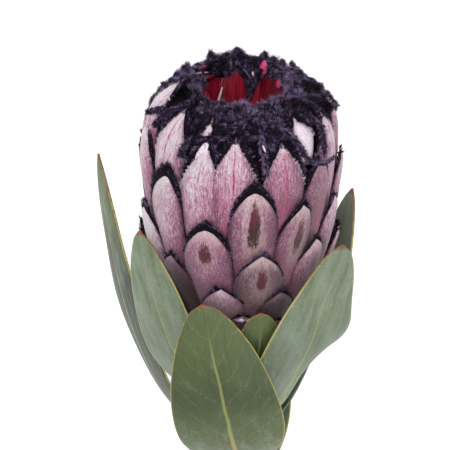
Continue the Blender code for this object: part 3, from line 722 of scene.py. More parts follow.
def tubes(form, path, radius, sides, tint, **values):
    """Adds closed tubes along stacks of path points: a ring of points round each, across the
    path's own direction, and a flat cap of triangles to a middle point at either end."""
    count, length = path.shape[:2]
    run = unit(np.gradient(path, axis=1))
    across = unit(np.cross(run, OBLIQUE))
    over = np.cross(run, across)
    turns = (np.arange(sides) * math.tau / sides)[:, None]
    ring = across[:, :, None] * np.cos(turns) + over[:, :, None] * np.sin(turns)
    wall = path[:, :, None] + ring * radius[:, :, None, None]
    points = np.concatenate([wall.reshape(count, -1, 3), path[:, :1], path[:, -1:]], axis=1)
    index, walls = ring_walls(length, sides)
    after = np.roll(index, -1, axis=1)
    first = np.full(sides, length * sides)
    caps = np.concatenate([
        np.stack([after[0], index[0], first], axis=-1),
        np.stack([index[-1], after[-1], first + 1], axis=-1)])
    start = (np.arange(count) * points.shape[1])[:, None, None]
    width = 0.96 / sides
    board = corner_board(length - 1, sides) * (width, 1 / (length - 1))
    lid = np.arange(2 * sides)[:, None] % sides * width + np.array([0, 0.5, 1]) * width
    lid = np.stack([lid, np.repeat([0.0, 0.98], sides)[:, None] + np.array([0, 0, 0.02])], axis=-1)
    shift = np.stack([tint * 0.94, np.zeros(count)], axis=-1)[:, None, None]
    share = 0.05 if count > 1 else 1.0
    form.add(
        points, [(walls[None] + start).reshape(-1, 4), (caps[None] + start).reshape(-1, 3)],
        [(board[None] * (share, 1) + shift).reshape(-1, 4, 2),
         (lid[None] * (share, 1) + shift).reshape(-1, 3, 2)], **values)


def bract_table():
    """Every bract's form and looks, a column for each: the front ones, then the rows."""
    draw = random.Random(7)
    rows = [list(bract) for bract in FRONT_BRACTS]
    for tip, length, width, first, count, *looks, beard in BACK_ROWS:
        for k in range(count):
            azimuth = first + k * ROW_STEP + draw.uniform(-AZIMUTH_JITTER, AZIMUTH_JITTER)
            top = tip + draw.uniform(-TIP_JITTER, TIP_JITTER)
            stretch = 1 + draw.uniform(-WIDTH_JITTER, WIDTH_JITTER)
            rows.append([
                azimuth, top, length, width * stretch, 0.1 * (k % 3), stretch - 1, *looks, beard,
                beard])
    return dict(zip(FORM + LOOKS, np.array(rows).T))


def bract_outline(along, point):
    """The share of its full width that a bract has: narrower at its base, broad past the middle
    and closing to its tip, as a round arch or, on a pointed bract, as a pointed one."""
    opening = np.sin(np.clip(along / BRACT_WIDEST, 0, 1) * np.pi / 2)
    closing = np.clip((along - BRACT_WIDEST) / (1 - BRACT_WIDEST), 0, 1)
    body = BRACT_BASE_WIDTH + (1 - BRACT_BASE_WIDTH) * opening
    return body * (1 - closing ** (2.1 - 0.4 * point)) ** (0.82 + 0.33 * point)


def bract_points(bract, along, across, depth=0.0):
    """Points of a bract at shares along and across it. The bract follows the head's radius,
    sinks steadily below its tip, falls away to its sides by the square of across, leans round
    the head by the square of an ease along it, bends in over its last eighth and has a shallow
    groove on its midline."""
    half_width = 0.5 * bract["width"] * np.maximum(
        bract_outline(along, bract["point"]), BRACT_TIP_WIDTH)
    height = bract["tip"] - bract["length"] * (1 - along)
    lift = bract["lift"] * smooth(along, -0.1, 0.75)
    radius = head_radius(height) + BRACT_RISE + lift - BRACT_SINK * (bract["tip"] - height)
    radius = radius - BRACT_CUP * across ** 2 * half_width / (0.5 * bract["width"])
    radius = radius - TIP_INCURVE * smooth(along, 0.86, 1.02) ** 2
    groove = np.exp(-(across * half_width / GROOVE_WIDTH) ** 2) * smooth(along, 0.3, 0.6)
    radius = radius - GROOVE_DEPTH * groove * (0.3 + bract["midline"]) - depth
    aside = across * half_width + bract["lean"] * smooth(along, 0.35, 1.05) ** 2
    return around(np.radians(bract["azimuth"]) + aside / radius, radius, height)


def beard_side(strength, along):
    """How far a beard reaches past the side of its bract: least on its lower part."""
    return BEARD_SIDE * strength * (0.05 + 0.95 * smooth(along, 0.68, 0.98))


def beard_points(bract, along, across, depth=0.0):
    """Points of a bract's felt of beard: the same bract, but wider and longer, blunter, a little
    deeper, and swollen in a roll just inside its edge."""
    left, right = bract["beard_left"], bract["beard_right"]
    strength = left + (right - left) * smooth(across, -0.3, 0.3)
    matted = BEARD_LOOSE + (1 - BEARD_LOOSE) * smooth(0.5 * (left + right), 0.6, 1.0)
    longer = BEARD_TIP * 0.5 * (left + right) * matted
    felt = dict(
        bract, tip=bract["tip"] + longer, length=bract["length"] + longer,
        width=bract["width"] + 2 * beard_side(strength, along) * matted,
        point=0.45 * bract["point"], midline=0.0)
    edge = (1 - np.abs(across)) * 0.5 * felt["width"] * bract_outline(along, felt["point"])
    swell = BEARD_SWELL * strength * matted * np.exp(-((edge - 0.8) / 0.9) ** 2)
    return bract_points(felt, along, across, BEARD_DEPTH + depth - swell)


def spread(table):
    """The table with each column along the first of three axes."""
    return {name: column[:, None, None] for name, column in table.items()}


def wool_line(share):
    """The radius and height on the woolly mouth's line at a share of its length, and the
    outward normal there."""
    line = np.array(WOOL_PROFILE)
    steps = np.linalg.norm(np.diff(line, axis=0), axis=1)
    lengths = np.concatenate([[0], np.cumsum(steps)]) / steps.sum()
    fine = np.linspace(0, 1, 200)
    radius = np.interp(fine, lengths, line[:, 0])
    height = np.interp(fine, lengths, line[:, 1])
    slope_radius = np.gradient(radius)
    slope_height = np.gradient(height)
    size = np.hypot(slope_radius, slope_height)
    return (
        np.interp(share, fine, radius), np.interp(share, fine, height),
        np.interp(share, fine, slope_height / size), np.interp(share, fine, -slope_radius / size))


def hollow(turn, radius, height, share):
    """How deep the matted beards are hollowed at their places."""
    depth = 0.0
    for azimuth, middle, wide, high, deep, inner in HOLLOWS:
        over = ((turn - math.radians(azimuth) + np.pi) % math.tau - np.pi) * radius / wide
        up = (height - middle) / high
        near = smooth(over * over + up * up, 1.5, 0.6) * (inner == (share > 0.7))
        depth = np.maximum(depth, deep * near)
    return depth


def wool_points(turn, share, depth=0.0):
    """Points of the matted beards at an azimuth and a share along their line, and how high each
    stands. Rolled lumps stand on the line's surface: each is a ridge with a Gaussian section
    either way, turned its own way, and where they meet the higher counts the more."""
    rng = np.random.default_rng(12)
    radius, height, normal_out, normal_up = wool_line(share)
    total = np.zeros(np.broadcast(turn, share).shape)
    lumps = np.concatenate([
        [(math.radians(azimuth), middle, 0.0, *size) for azimuth, middle, *size in PEAKS],
        rng.uniform(LUMP_LEAST, LUMP_MOST, (WOOL_LUMPS, len(LUMP_LEAST)))])
    for azimuth, middle, tilt, length, width, stand in lumps:
        over = ((turn - azimuth + np.pi) % math.tau - np.pi) * radius
        up = (share - middle) * WOOL_LENGTH
        p = up * math.cos(tilt) + over * math.sin(tilt)
        q = over * math.cos(tilt) - up * math.sin(tilt)
        total += (stand * np.exp(-(p / length) ** 2 - (q / width) ** 2)) ** 4
    stand = total ** 0.25
    degrees = np.degrees((turn + np.pi) % math.tau - np.pi)
    a, b, c, d = WOOL_FRONT_EDGES
    front = smooth(degrees, a, b) * smooth(degrees, d, c)
    radius = radius + front * np.interp(height, *np.array(WOOL_FRONT).T)
    drop = WOOL_FRONT_DROP * (0.5 + 0.5 * np.cos(turn)) * smooth(share, 0.35, 0.6)
    squeeze = WOOL_SQUEEZE * (0.55 + 0.45 * np.sin(turn)) * smooth(np.abs(np.sin(turn)), 0.2, 0.9)
    radius = radius - squeeze * smooth(height, *WOOL_SQUEEZE_HEIGHTS) * smooth(share, 0.80, 0.60)
    stand = stand - hollow(turn, radius, height, share)
    out = stand - WOOL_SINK - depth
    return around(turn, radius + normal_out * out, height - drop + normal_up * out), stand


def bezier(points, v):
    """A cubic Bezier curve through four points, and its direction, at the shares v."""
    a, b, c, d = points
    place = (1 - v) ** 3 * a + 3 * (1 - v) ** 2 * v * b + 3 * (1 - v) * v * v * c + v ** 3 * d
    run = (1 - v) ** 2 * (b - a) + 2 * (1 - v) * v * (c - b) + v * v * (d - c)
    return place, unit(run)


def stem_at(height):
    """The radius of the stem and the place of its middle at a height."""
    heights, radii, sides, backs = np.array(STEM_ROUTE[::-1]).T
    side = np.interp(height, heights, sides)
    back = np.interp(height, heights, backs)
    return np.interp(height, heights, radii), vectors(np.shape(height), side, back, height)


# Materials

# Tints that darken: painted shade on the lowest bracts and on the sides of every bract, and in
# the cup the streaks, and painted shade on the strips in the shade, in the depth and on the
# strips' sides. Then the painted shade behind the bracts.
DUSK_SHADE_TINT = (0.32, 0.26, 0.30)
BRACT_SIDE_SHADE = (0.42, 0.24, 0.34)
STREAK_TINT = (0.30, 0.16, 0.26)
SHADED_TINT = (0.4, 0.2, 0.25)
CUP_DEPTH_SHADE = (0.25, 0.06, 0.10)
STRIP_SIDE_SHADE = (0.3, 0.1, 0.16)
CORE_DARK = (0.012, 0.004, 0.008)


class Value:
    """A number that varies over a surface. Arithmetic on it adds Math nodes."""

    def __init__(self, paint, socket):
        self.paint = paint
        self.socket = socket

    def __add__(self, other):
        return self.paint.math("ADD", self, other)

    def __sub__(self, other):
        return self.paint.math("SUBTRACT", self, other)

    def __rsub__(self, other):
        return self.paint.math("SUBTRACT", other, self)

    def __mul__(self, other):
        return self.paint.math("MULTIPLY", self, other)

    def __truediv__(self, other):
        return self.paint.math("DIVIDE", self, other)

    def __rtruediv__(self, other):
        return self.paint.math("DIVIDE", other, self)

    def __abs__(self):
        return self.paint.math("ABSOLUTE", self)

    __radd__ = __add__
    __rmul__ = __mul__


class Paint:
    """One material and the nodes that colour it. Fixed values go on the shader's own sockets."""

    def __init__(self, name, **fixed):
        self.material = bpy.data.materials.new(name)
        self.material.use_nodes = True
        self.tree = self.material.node_tree
        self.shader = self.tree.nodes["Principled BSDF"]
        for socket, value in fixed.items():
            self.shader.inputs[socket.replace("_", " ")].default_value = value

    def node(self, kind, settings=None, sockets=None):
        """A node of any type: its settings first, then the values or links of its sockets."""
        node = self.tree.nodes.new(kind)
        for name, value in (settings or {}).items():
            setattr(node, name, value)
        for name, value in (sockets or {}).items():
            self.feed(node.inputs[name], value)
        return node

    def feed(self, socket, value):
        """A socket's value, or the link to it."""
        if isinstance(value, Value):
            value = value.socket
        if isinstance(value, bpy.types.NodeSocket):
            self.tree.links.new(value, socket)
        else:
            socket.default_value = value

    def math(self, operation, *values):
        """A Math node over numbers and values."""
        node = self.node("ShaderNodeMath", {"operation": operation}, dict(enumerate(values)))
        return Value(self, node.outputs[0])

    def attribute(self, name):
        """The three numbers of a point value, and the vector itself."""
        vector = self.node("ShaderNodeAttribute", {"attribute_name": name}).outputs["Vector"]
        parts = self.node("ShaderNodeSeparateXYZ", sockets={"Vector": vector}).outputs
        return *(Value(self, part) for part in parts), vector

    def grain(self, vector, stretch, *settings):
        """Noise over the vector, which is stretched along each axis."""
        stretched = self.node(
            "ShaderNodeVectorMath", {"operation": "MULTIPLY"}, {0: vector, 1: stretch}).outputs[0]
        return self.noise(stretched, 1.0, *settings)

    def noise(self, vector, scale, detail=2.0, roughness=0.5, distortion=0.0):
        """Noise of about 0 to 1 over the vector."""
        node = self.node(
            "ShaderNodeTexNoise", sockets={
                "Vector": vector, "Scale": scale, "Detail": detail, "Roughness": roughness,
                "Distortion": distortion})
        return Value(self, node.outputs["Fac"])

    def step(self, value, start, end):
        """0 before start and 1 past end, with a soft change between; start may be larger."""
        node = self.node(
            "ShaderNodeMapRange", {"interpolation_type": "SMOOTHSTEP"},
            {"Value": value, "From Min": start, "From Max": end})
        return Value(self, node.outputs[0])

    def mix(self, factor, first, second, blend="MIX"):
        """The first colour, and the second where the factor is 1."""
        node = self.node(
            "ShaderNodeMix", {"data_type": "RGBA", "blend_type": blend},
            {"Factor": factor, 6: opaque(first), 7: opaque(second)})
        return node.outputs[2]

    def tinted(self, colour, factor, tint):
        """The colour times the tint, where the factor is 1."""
        return self.mix(factor, colour, tint, "MULTIPLY")

    def bump(self, height, strength, depth):
        """A bump of this height, with the depth of a height of 1 in millimetres."""
        node = self.node(
            "ShaderNodeBump", sockets={
                "Strength": strength, "Distance": depth * MM, "Height": height})
        self.feed(self.shader.inputs["Normal"], node.outputs[0])

    def surface(self, colour, roughness):
        """The material, with its colour and its roughness."""
        self.feed(self.shader.inputs["Base Color"], opaque(colour))
        self.feed(self.shader.inputs["Roughness"], roughness)
        return self.material


def opaque(colour):
    """A colour setting as the four numbers that a colour socket takes."""
    return colour if isinstance(colour, bpy.types.NodeSocket) else (*colour[:3], 1.0)


def bract_skin(head):
    """Silky bracts: silver or pink above and mauve below, streaked and speckled along their
    length, with a crimson midline, a brown blotch in a cream halo, a white point and maroon
    edges. Painted highlight puts silver glints on them, and painted shade makes their right
    sides more mauve and darkens their sides and lower parts, the lowest bracts, and their bases
    and inner faces in maroon."""
    paint = Paint("bract_skin", Sheen_Weight=0.25, Sheen_Roughness=0.45, Specular_IOR_Level=0.3)
    across, along, inner, _ = paint.attribute("share")
    x, _, _, place = paint.attribute("place")
    mauve, blotch, blotch_long, _ = paint.attribute("look")
    midline, dusk, point, _ = paint.attribute("mark")
    soft = paint.grain(place, (0.16, 0.08, 1.0), 2.0)
    fluff = paint.step(paint.grain(place, (1.5, 0.6, 1.0), 3.0, 0.6), 0.34, 0.66)
    streak = paint.step(paint.grain(place, (3.4, 0.42, 1.0), 3.0, 0.6), 0.34, 0.66)
    speck = paint.grain(place, (3.6, 1.9, 1.0), 2.0, 0.7)
    edge = abs(across)
    # across * 0.10 makes each bract more mauve to its right: painted shade on the side away from
    # the key light
    tone = mauve + (0.80 - along) * 1.1 + (edge - 0.4) * 0.25 + across * 0.10 + (soft - 0.5) * 0.7
    tone = tone + (streak - 0.5) * 0.42 + (fluff - 0.5) * 0.36
    skin = paint.mix(paint.step(tone, 0.05, 0.66), head.silver, head.pink)
    skin = paint.mix(paint.step(tone, 0.45, 1.1), skin, head.mauve)
    skin = paint.mix(paint.step(mauve, -0.45, -0.75), skin, head.white)
    # Dusky grey-brown on the lowest bracts is partly their own colour; the darker tint on the
    # duskiest ones is painted shade low on the head
    dusky = dusk * paint.step(along + (soft - 0.5) * 0.3, 1.35, 0.55)
    skin = paint.mix(dusky, skin, head.dusk)
    skin = paint.tinted(skin, paint.step(dusk, 0.70, 1.0), DUSK_SHADE_TINT)
    up = along - 0.74 + blotch_long * 0.08 + (streak - 0.5) * 0.05
    far_up = up / (0.065 + blotch_long * 0.14)
    far_over = (across + (soft - 0.5) * 0.4) / (0.21 + blotch_long * 0.05)
    far = far_up * far_up + far_over * far_over
    halo = blotch * paint.step(far + (fluff - 0.5) * 2.0, 6.0, 1.0) * 0.4 * blotch_long
    rim = blotch * paint.step(along + edge * 0.10 + (streak - 0.5) * 0.14, 0.84, 1.02) * 0.75
    skin = paint.mix(paint.math("MAXIMUM", halo, rim), skin, head.cream)
    core = blotch * paint.step(far + (streak - 0.5) * 0.9 + (fluff - 0.5) * 0.7, 1.7, 0.5)
    earth = paint.mix(paint.step(up, 0.10, -0.06) * blotch_long, head.rust, head.brown)
    skin = paint.mix(core * 0.5 + paint.step(core, 0.3, 0.8) * 0.5, skin, earth)
    line = paint.step(abs(x + (soft - 0.5) * 1.2), 0.50, 0.06) * paint.step(along, 0.25, 0.6)
    skin = paint.mix(line * midline * (0.5 + streak * 0.6), skin, head.crimson)
    wash = midline * paint.step(along + (fluff - 0.5) * 0.3, 0.66, 0.30) * 0.30
    skin = paint.mix(wash * paint.step(edge, 1.0, 0.3), skin, head.crimson)
    white = point * paint.step(along + (streak - 0.5) * 0.05 - edge * 0.03, 0.90, 0.975)
    skin = paint.mix(white, skin, head.white)
    # Silver glints of the silky hairs, fewer in the blotch and on dusky bracts: painted highlight
    patch = paint.step(paint.grain(place, (0.22, 0.14, 1.0), 1.0), 0.46, 0.66)
    glint = paint.step(speck, 0.56, 0.67) * (0.15 + patch * (0.5 + midline * 0.5))
    glint = glint * (1.0 - dusk * 0.7) * (1.0 - core * 0.85)
    skin = paint.mix(glint * 0.75, skin, head.silver)
    skin = paint.tinted(skin, paint.step(speck, 0.50, 0.32) * 0.8, head.pink)
    # Painted shade towards each bract's sides and over its lower part, where it turns away and
    # tucks under its neighbours
    shade = paint.step(edge + (soft - 0.5) * 0.3, 0.45, 1.0) * paint.step(along, 0.92, 0.50)
    skin = paint.tinted(skin, shade * 0.55, BRACT_SIDE_SHADE)
    rim = paint.step(edge + (streak - 0.5) * 0.1, 0.86, 1.0) * paint.step(along, 0.97, 0.75)
    skin = paint.mix(rim * 0.7, skin, head.maroon)
    # Maroon towards the base and on the inner face: painted shade between the bracts
    skin = paint.mix(paint.step(along, 0.22, 0.04), skin, head.maroon)
    skin = paint.mix(inner, skin, head.maroon)
    paint.bump(streak * 0.5 + fluff * 0.3 + speck, 0.6, 0.22)
    return paint.surface(skin, 0.62 - glint * 0.25)


def core_skin(head):
    """The dark shade behind the bracts."""
    paint = Paint("bract_shade", Specular_IOR_Level=0.1)
    patch = paint.noise(paint.node("ShaderNodeTexCoord").outputs["Object"], 260, 2)
    skin = paint.mix(paint.step(patch, 0.3, 0.8) * 0.4, CORE_DARK, head.maroon)
    return paint.surface(skin, 0.9)


def hair_skin(name, root, tip, start, end):
    """Hairs whose colour goes from their roots to their tips, further for a lighter hair: the
    tint lies across the bake map, and the way from root to tip up it."""
    paint = Paint(name, Specular_IOR_Level=0.06)
    map_place = paint.node("ShaderNodeUVMap", {"uv_map": BAKE_MAP}).outputs[0]
    parts = paint.node("ShaderNodeSeparateXYZ", sockets={"Vector": map_place}).outputs
    tint = Value(paint, parts[0])
    # The lighter purple towards the tips is partly the hairs' own colour and partly painted
    # highlight, as the hairs have almost no specular of their own
    light = paint.step(tint * (0.4 + Value(paint, parts[1])), start, end)
    return paint.surface(paint.mix(light, root, tip), 0.6 + tint * 0.1)


def cup_skin(cup):
    """The crimson inner faces of the bracts, streaked with rose along their length, or white. The
    rose streaks are partly painted highlight, and painted shade darkens the strips with the least
    red, the cup's depth and the strips' sides.
    """
    paint = Paint("cup_skin", Specular_IOR_Level=0.5)
    across, along, _, _ = paint.attribute("share")
    _, _, _, place = paint.attribute("place")
    red, white, _, _ = paint.attribute("look")
    streak = paint.grain(place, (1.6, 0.12, 1.0), 3.0, 0.6)
    soft = paint.grain(place, (0.3, 0.2, 1.0), 2.0)
    # Rose where the streaks and the strip's red are high: partly the strips' own streaks and
    # partly painted highlight
    skin = paint.mix(
        paint.step(streak + (soft - 0.5) + red - 0.5, 0.5, 1.0), cup.crimson, cup.rose)
    skin = paint.tinted(skin, paint.step(streak, 0.56, 0.36) * 0.75, STREAK_TINT)
    # Painted shade: the strips with the least red, the depth of the cup and the strips' sides
    skin = paint.tinted(skin, paint.step(red, 0.35, 0.1) * 0.8, SHADED_TINT)
    skin = paint.tinted(skin, paint.step(along, 0.75, 0.2) * (1.0 - white), CUP_DEPTH_SHADE)
    side = paint.step(abs(across), 0.75, 1.0) * (0.7 - white * 0.7)
    skin = paint.tinted(skin, side, STRIP_SIDE_SHADE)
    skin = paint.mix(white, skin, cup.white)
    paint.bump(streak, 0.4, 0.2)
    return paint.surface(skin, 0.45)


def floret_skin(cup):
    """Florets that are crimson below and dark at their tips."""
    paint = Paint("floret_skin", Sheen_Weight=0.3)
    _, along, _, place = paint.attribute("share")
    streak = paint.grain(place, (6.0, 3.0, 9.0), 2.0)
    dark = paint.step(along + (streak - 0.5) * 0.3, 0.45, 0.8)
    return paint.surface(paint.mix(dark, cup.floret, cup.floret_tip), 0.6)


def leaf_skin(leaves):
    """Leathery blades: olive under a pale waxy bloom, darker towards the foot of a shaded leaf,
    with faint side veins, a yellow midrib, a horny margin and a hard brown tip. The bloom's
    clouds and the waves of the folds in it carry painted sheen and shade as well."""
    paint = Paint(
        "leaf_skin", Specular_IOR_Level=0.4, Subsurface_Weight=0.35, Subsurface_Scale=MM,
        Subsurface_Radius=(0.8, 1.2, 0.4))
    _, along, _, _ = paint.attribute("share")
    x, y, from_edge, place = paint.attribute("place")
    bloomy, shaded, veined, _ = paint.attribute("look")
    cloud = paint.grain(place, (0.13, 0.09, 0.0), 3.0, 0.55)
    grain = paint.grain(place, (1.1, 0.9, 0.0), 4.0, 0.6)
    fine = paint.grain(place, (4.0, 3.0, 0.0), 2.0, 0.6)
    fold = paint.grain(place, (0.42, 0.10, 0.0), 2.0, 0.5, 0.8)
    # The bloom is the leaf's own waxy coat, paler towards the foot; its clouds and the folds'
    # waves in it are partly that coat's patches and partly painted sheen and shade of the folds
    bloom = bloomy + (0.6 - along) * 0.5 + (cloud - 0.5) * 0.9 + (grain - 0.5) * 0.6
    bloom = bloom + (fine - 0.5) * 0.3 + (fold - 0.5) * 0.9
    skin = paint.mix(paint.step(bloom, 0.0, 1.0), leaves.green, leaves.bloom)
    low = paint.math("MAXIMUM", paint.step(along, 0.50, 0.68), paint.step(shaded, 0.9, 1.1))
    shade = shaded * paint.step(along + (cloud - 0.5) * 0.3, 0.92, 0.66) * low
    skin = paint.mix(paint.math("MINIMUM", shade * 0.85, 0.95), skin, leaves.deep)
    slant = y - abs(x) * 1.1 + (cloud - 0.5) * 9.0
    wave = paint.math("SINE", slant * 0.85)
    side_vein = paint.step(wave + (grain - 0.5) * 0.8, 0.90, 1.0) * veined
    skin = paint.mix(side_vein * 0.16, skin, leaves.vein)
    foot = paint.step(along, 0.22, 0.04)
    skin = paint.mix(foot * 0.6, skin, leaves.tan)
    rib_width = 0.22 + (1.0 - along) * 0.75
    rib = paint.step(abs(x + (cloud - 0.5) * 1.2) / rib_width, 1.5, 0.4)
    rib = rib * paint.step(along, 0.98, 0.80)
    rib_colour = paint.mix(paint.step(along, 0.52, 0.30), leaves.vein, leaves.tan)
    skin = paint.mix(rib * (0.40 + (1.0 - along) * 0.75), skin, rib_colour)
    margin = paint.step(from_edge + (grain - 0.5) * 0.25, 0.36, 0.10)
    near_tip = paint.step(along + (grain - 0.5) * 0.3, 0.84, 1.02)
    skin = paint.mix(margin * 0.85, skin, paint.mix(near_tip, leaves.margin, leaves.callus))
    tip = paint.step(along + (grain - 0.5) * 0.02, 0.985, 0.997)
    skin = paint.mix(tip, skin, leaves.callus)
    skin = paint.tinted(skin, paint.step(fine, 0.62, 0.36) * 0.22, leaves.green)
    paint.bump(fine * 0.4 + grain * 0.9 + fold * 4.0 + side_vein * 0.4, 0.6, 0.22)
    return paint.surface(skin, 0.46 + (grain - 0.5) * 0.2 + bloom * 0.05)


def stem_skin(stem):
    """Green bark that browns towards the cut end, with fine ridges along it and pale lenticels,
    and a cut face with pale wood round a darker pith."""
    paint = Paint("stem_skin", Specular_IOR_Level=0.35)
    _, along, out, _ = paint.attribute("share")
    _, _, _, place = paint.attribute("place")
    ridge = paint.grain(place, (2.2, 0.16, 1.0), 3.0, 0.6)
    patch = paint.grain(place, (0.3, 0.08, 1.0), 2.0)
    dot = paint.grain(place, (1.8, 0.9, 1.0), 1.0)
    skin = paint.mix(paint.step(along + (patch - 0.5) * 0.6, 0.45, 0.05), stem.bark, stem.brown)
    skin = paint.tinted(skin, paint.step(ridge, 0.55, 0.35) * 0.5, stem.brown)
    skin = paint.mix(paint.step(dot, 0.70, 0.76) * 0.6, skin, stem.wood)
    cut = paint.step(along, 0.002, 0.0)
    ring = paint.math("SINE", out * 26.0 + (patch - 0.5) * 3.0)
    face = paint.mix(paint.step(out, 0.30, 0.18), stem.wood, stem.pith)
    face = paint.tinted(face, (ring * 0.5 + 0.5) * 0.35, stem.brown)
    face = paint.mix(paint.step(out, 0.88, 0.96), face, stem.bark)
    skin = paint.mix(cut, skin, face)
    paint.bump(ridge + paint.step(dot, 0.68, 0.78), 0.6, 0.25)
    return paint.surface(skin, 0.6)


# The pieces

def build_bracts(head):
    """Every bract as a thin shell that thins towards its tip and sides."""
    bract = spread(bract_table())
    along = 1 - (1 - np.linspace(0, 1, BRACT_ROWS)[None, :, None]) ** 1.35
    across = np.linspace(-1, 1, BRACT_COLUMNS)[None, None, :]
    thickness = head.thickness / MM
    thin = thickness * (1 - 0.55 * across ** 4) * (1 - 0.55 * along ** 6)
    outer = bract_points(bract, along, across)
    inner = bract_points(bract, along, across, thin)
    half_width = 0.5 * bract["width"] * bract_outline(along, bract["point"])
    seeds = np.arange(len(outer))[:, None, None] * BRACT_NOISE_STEP
    form = Form()
    add_shells(
        form, outer, inner, place=(across * half_width, along * bract["length"], seeds),
        share=(across, along, INNER_FACE),
        look=(bract["mauve"], bract["blotch"], bract["blotch_long"]),
        mark=(bract["midline"], bract["dusk"], bract["point"]))
    form.piece("bracts", bract_skin(head), "bract", replaced=("head",))


def build_core(head):
    """The receptacle and the wall that the bracts grow from, as a tube turned about the axis:
    up the outside, in over the wall's top, down the cup and across its floor."""
    heights = np.linspace(0, CORE_TOP, CORE_ROWS)
    outside = np.stack([head_radius(heights) - CORE_DEPTH, heights], axis=-1)
    line = np.concatenate([CORE_FOOT, outside, CUP_WALL])
    turn = np.linspace(0, math.tau, CORE_COLUMNS, endpoint=False)
    form = Form()
    add_turned(form, around(turn[None], line[:, :1], line[:, 1:]))
    form.piece("bract_core", core_skin(head), "bract")


def build_felt(beards):
    """The felt of every bract's beard, as a thin shell over its upper part, and the mat of
    matted beards round the mouth, which closes below itself."""
    table = bract_table()
    matted = table["beard_left"] + table["beard_right"] > 2 * LEAST_MATTED
    bract = spread({name: column[matted] for name, column in table.items()})
    along = 1 - 0.62 * (1 - np.linspace(0, 1, FELT_ROWS)[None, :, None]) ** 1.3
    across = signed_power(np.linspace(-1, 1, FELT_COLUMNS)[None, None, :], 0.75)
    outer = beard_points(bract, along, across)
    inner = beard_points(bract, along, across, 0.9 - 0.6 * across ** 4)
    form = Form()
    add_shells(form, outer, inner)
    form.piece("beard_felt", hair_skin("felt_hair", beards.black, beards.black, 0.0, 1.0), "beard")
    turn = np.linspace(0, math.tau, WOOL_COLUMNS, endpoint=False)[None]
    top, _ = wool_points(turn, np.linspace(0, 1, WOOL_ROWS)[:, None], 0.15)
    radius, height = np.array(WOOL_UNDERSIDE).T[..., None]
    points = np.concatenate([top, around(turn, radius, height)])
    _, quads = ring_walls(len(points), WOOL_COLUMNS, closed=True)
    board = corner_board(len(points), WOOL_COLUMNS) / (WOOL_COLUMNS, len(points)) * 0.2
    form = Form()
    form.add(points, [quads], [board])
    form.piece("beard_mat", hair_skin("mat_hair", beards.black, beards.black, 0.0, 1.0), "beard")


def clumps_of(*cells):
    """The number of every hair's clump, which is one where all its cells' whole parts agree."""
    whole = np.floor(np.stack(np.broadcast_arrays(*cells))).astype(int)
    return np.unique(whole, axis=1, return_inverse=True)[1].ravel()


def gathered(points, clump, pull):
    """The points, drawn by a share of the way to the mean of their clump."""
    size = np.bincount(clump)
    mean = np.stack([np.bincount(clump, points[:, k]) / size for k in range(3)], axis=-1)
    return points + (mean[clump] - points) * pull


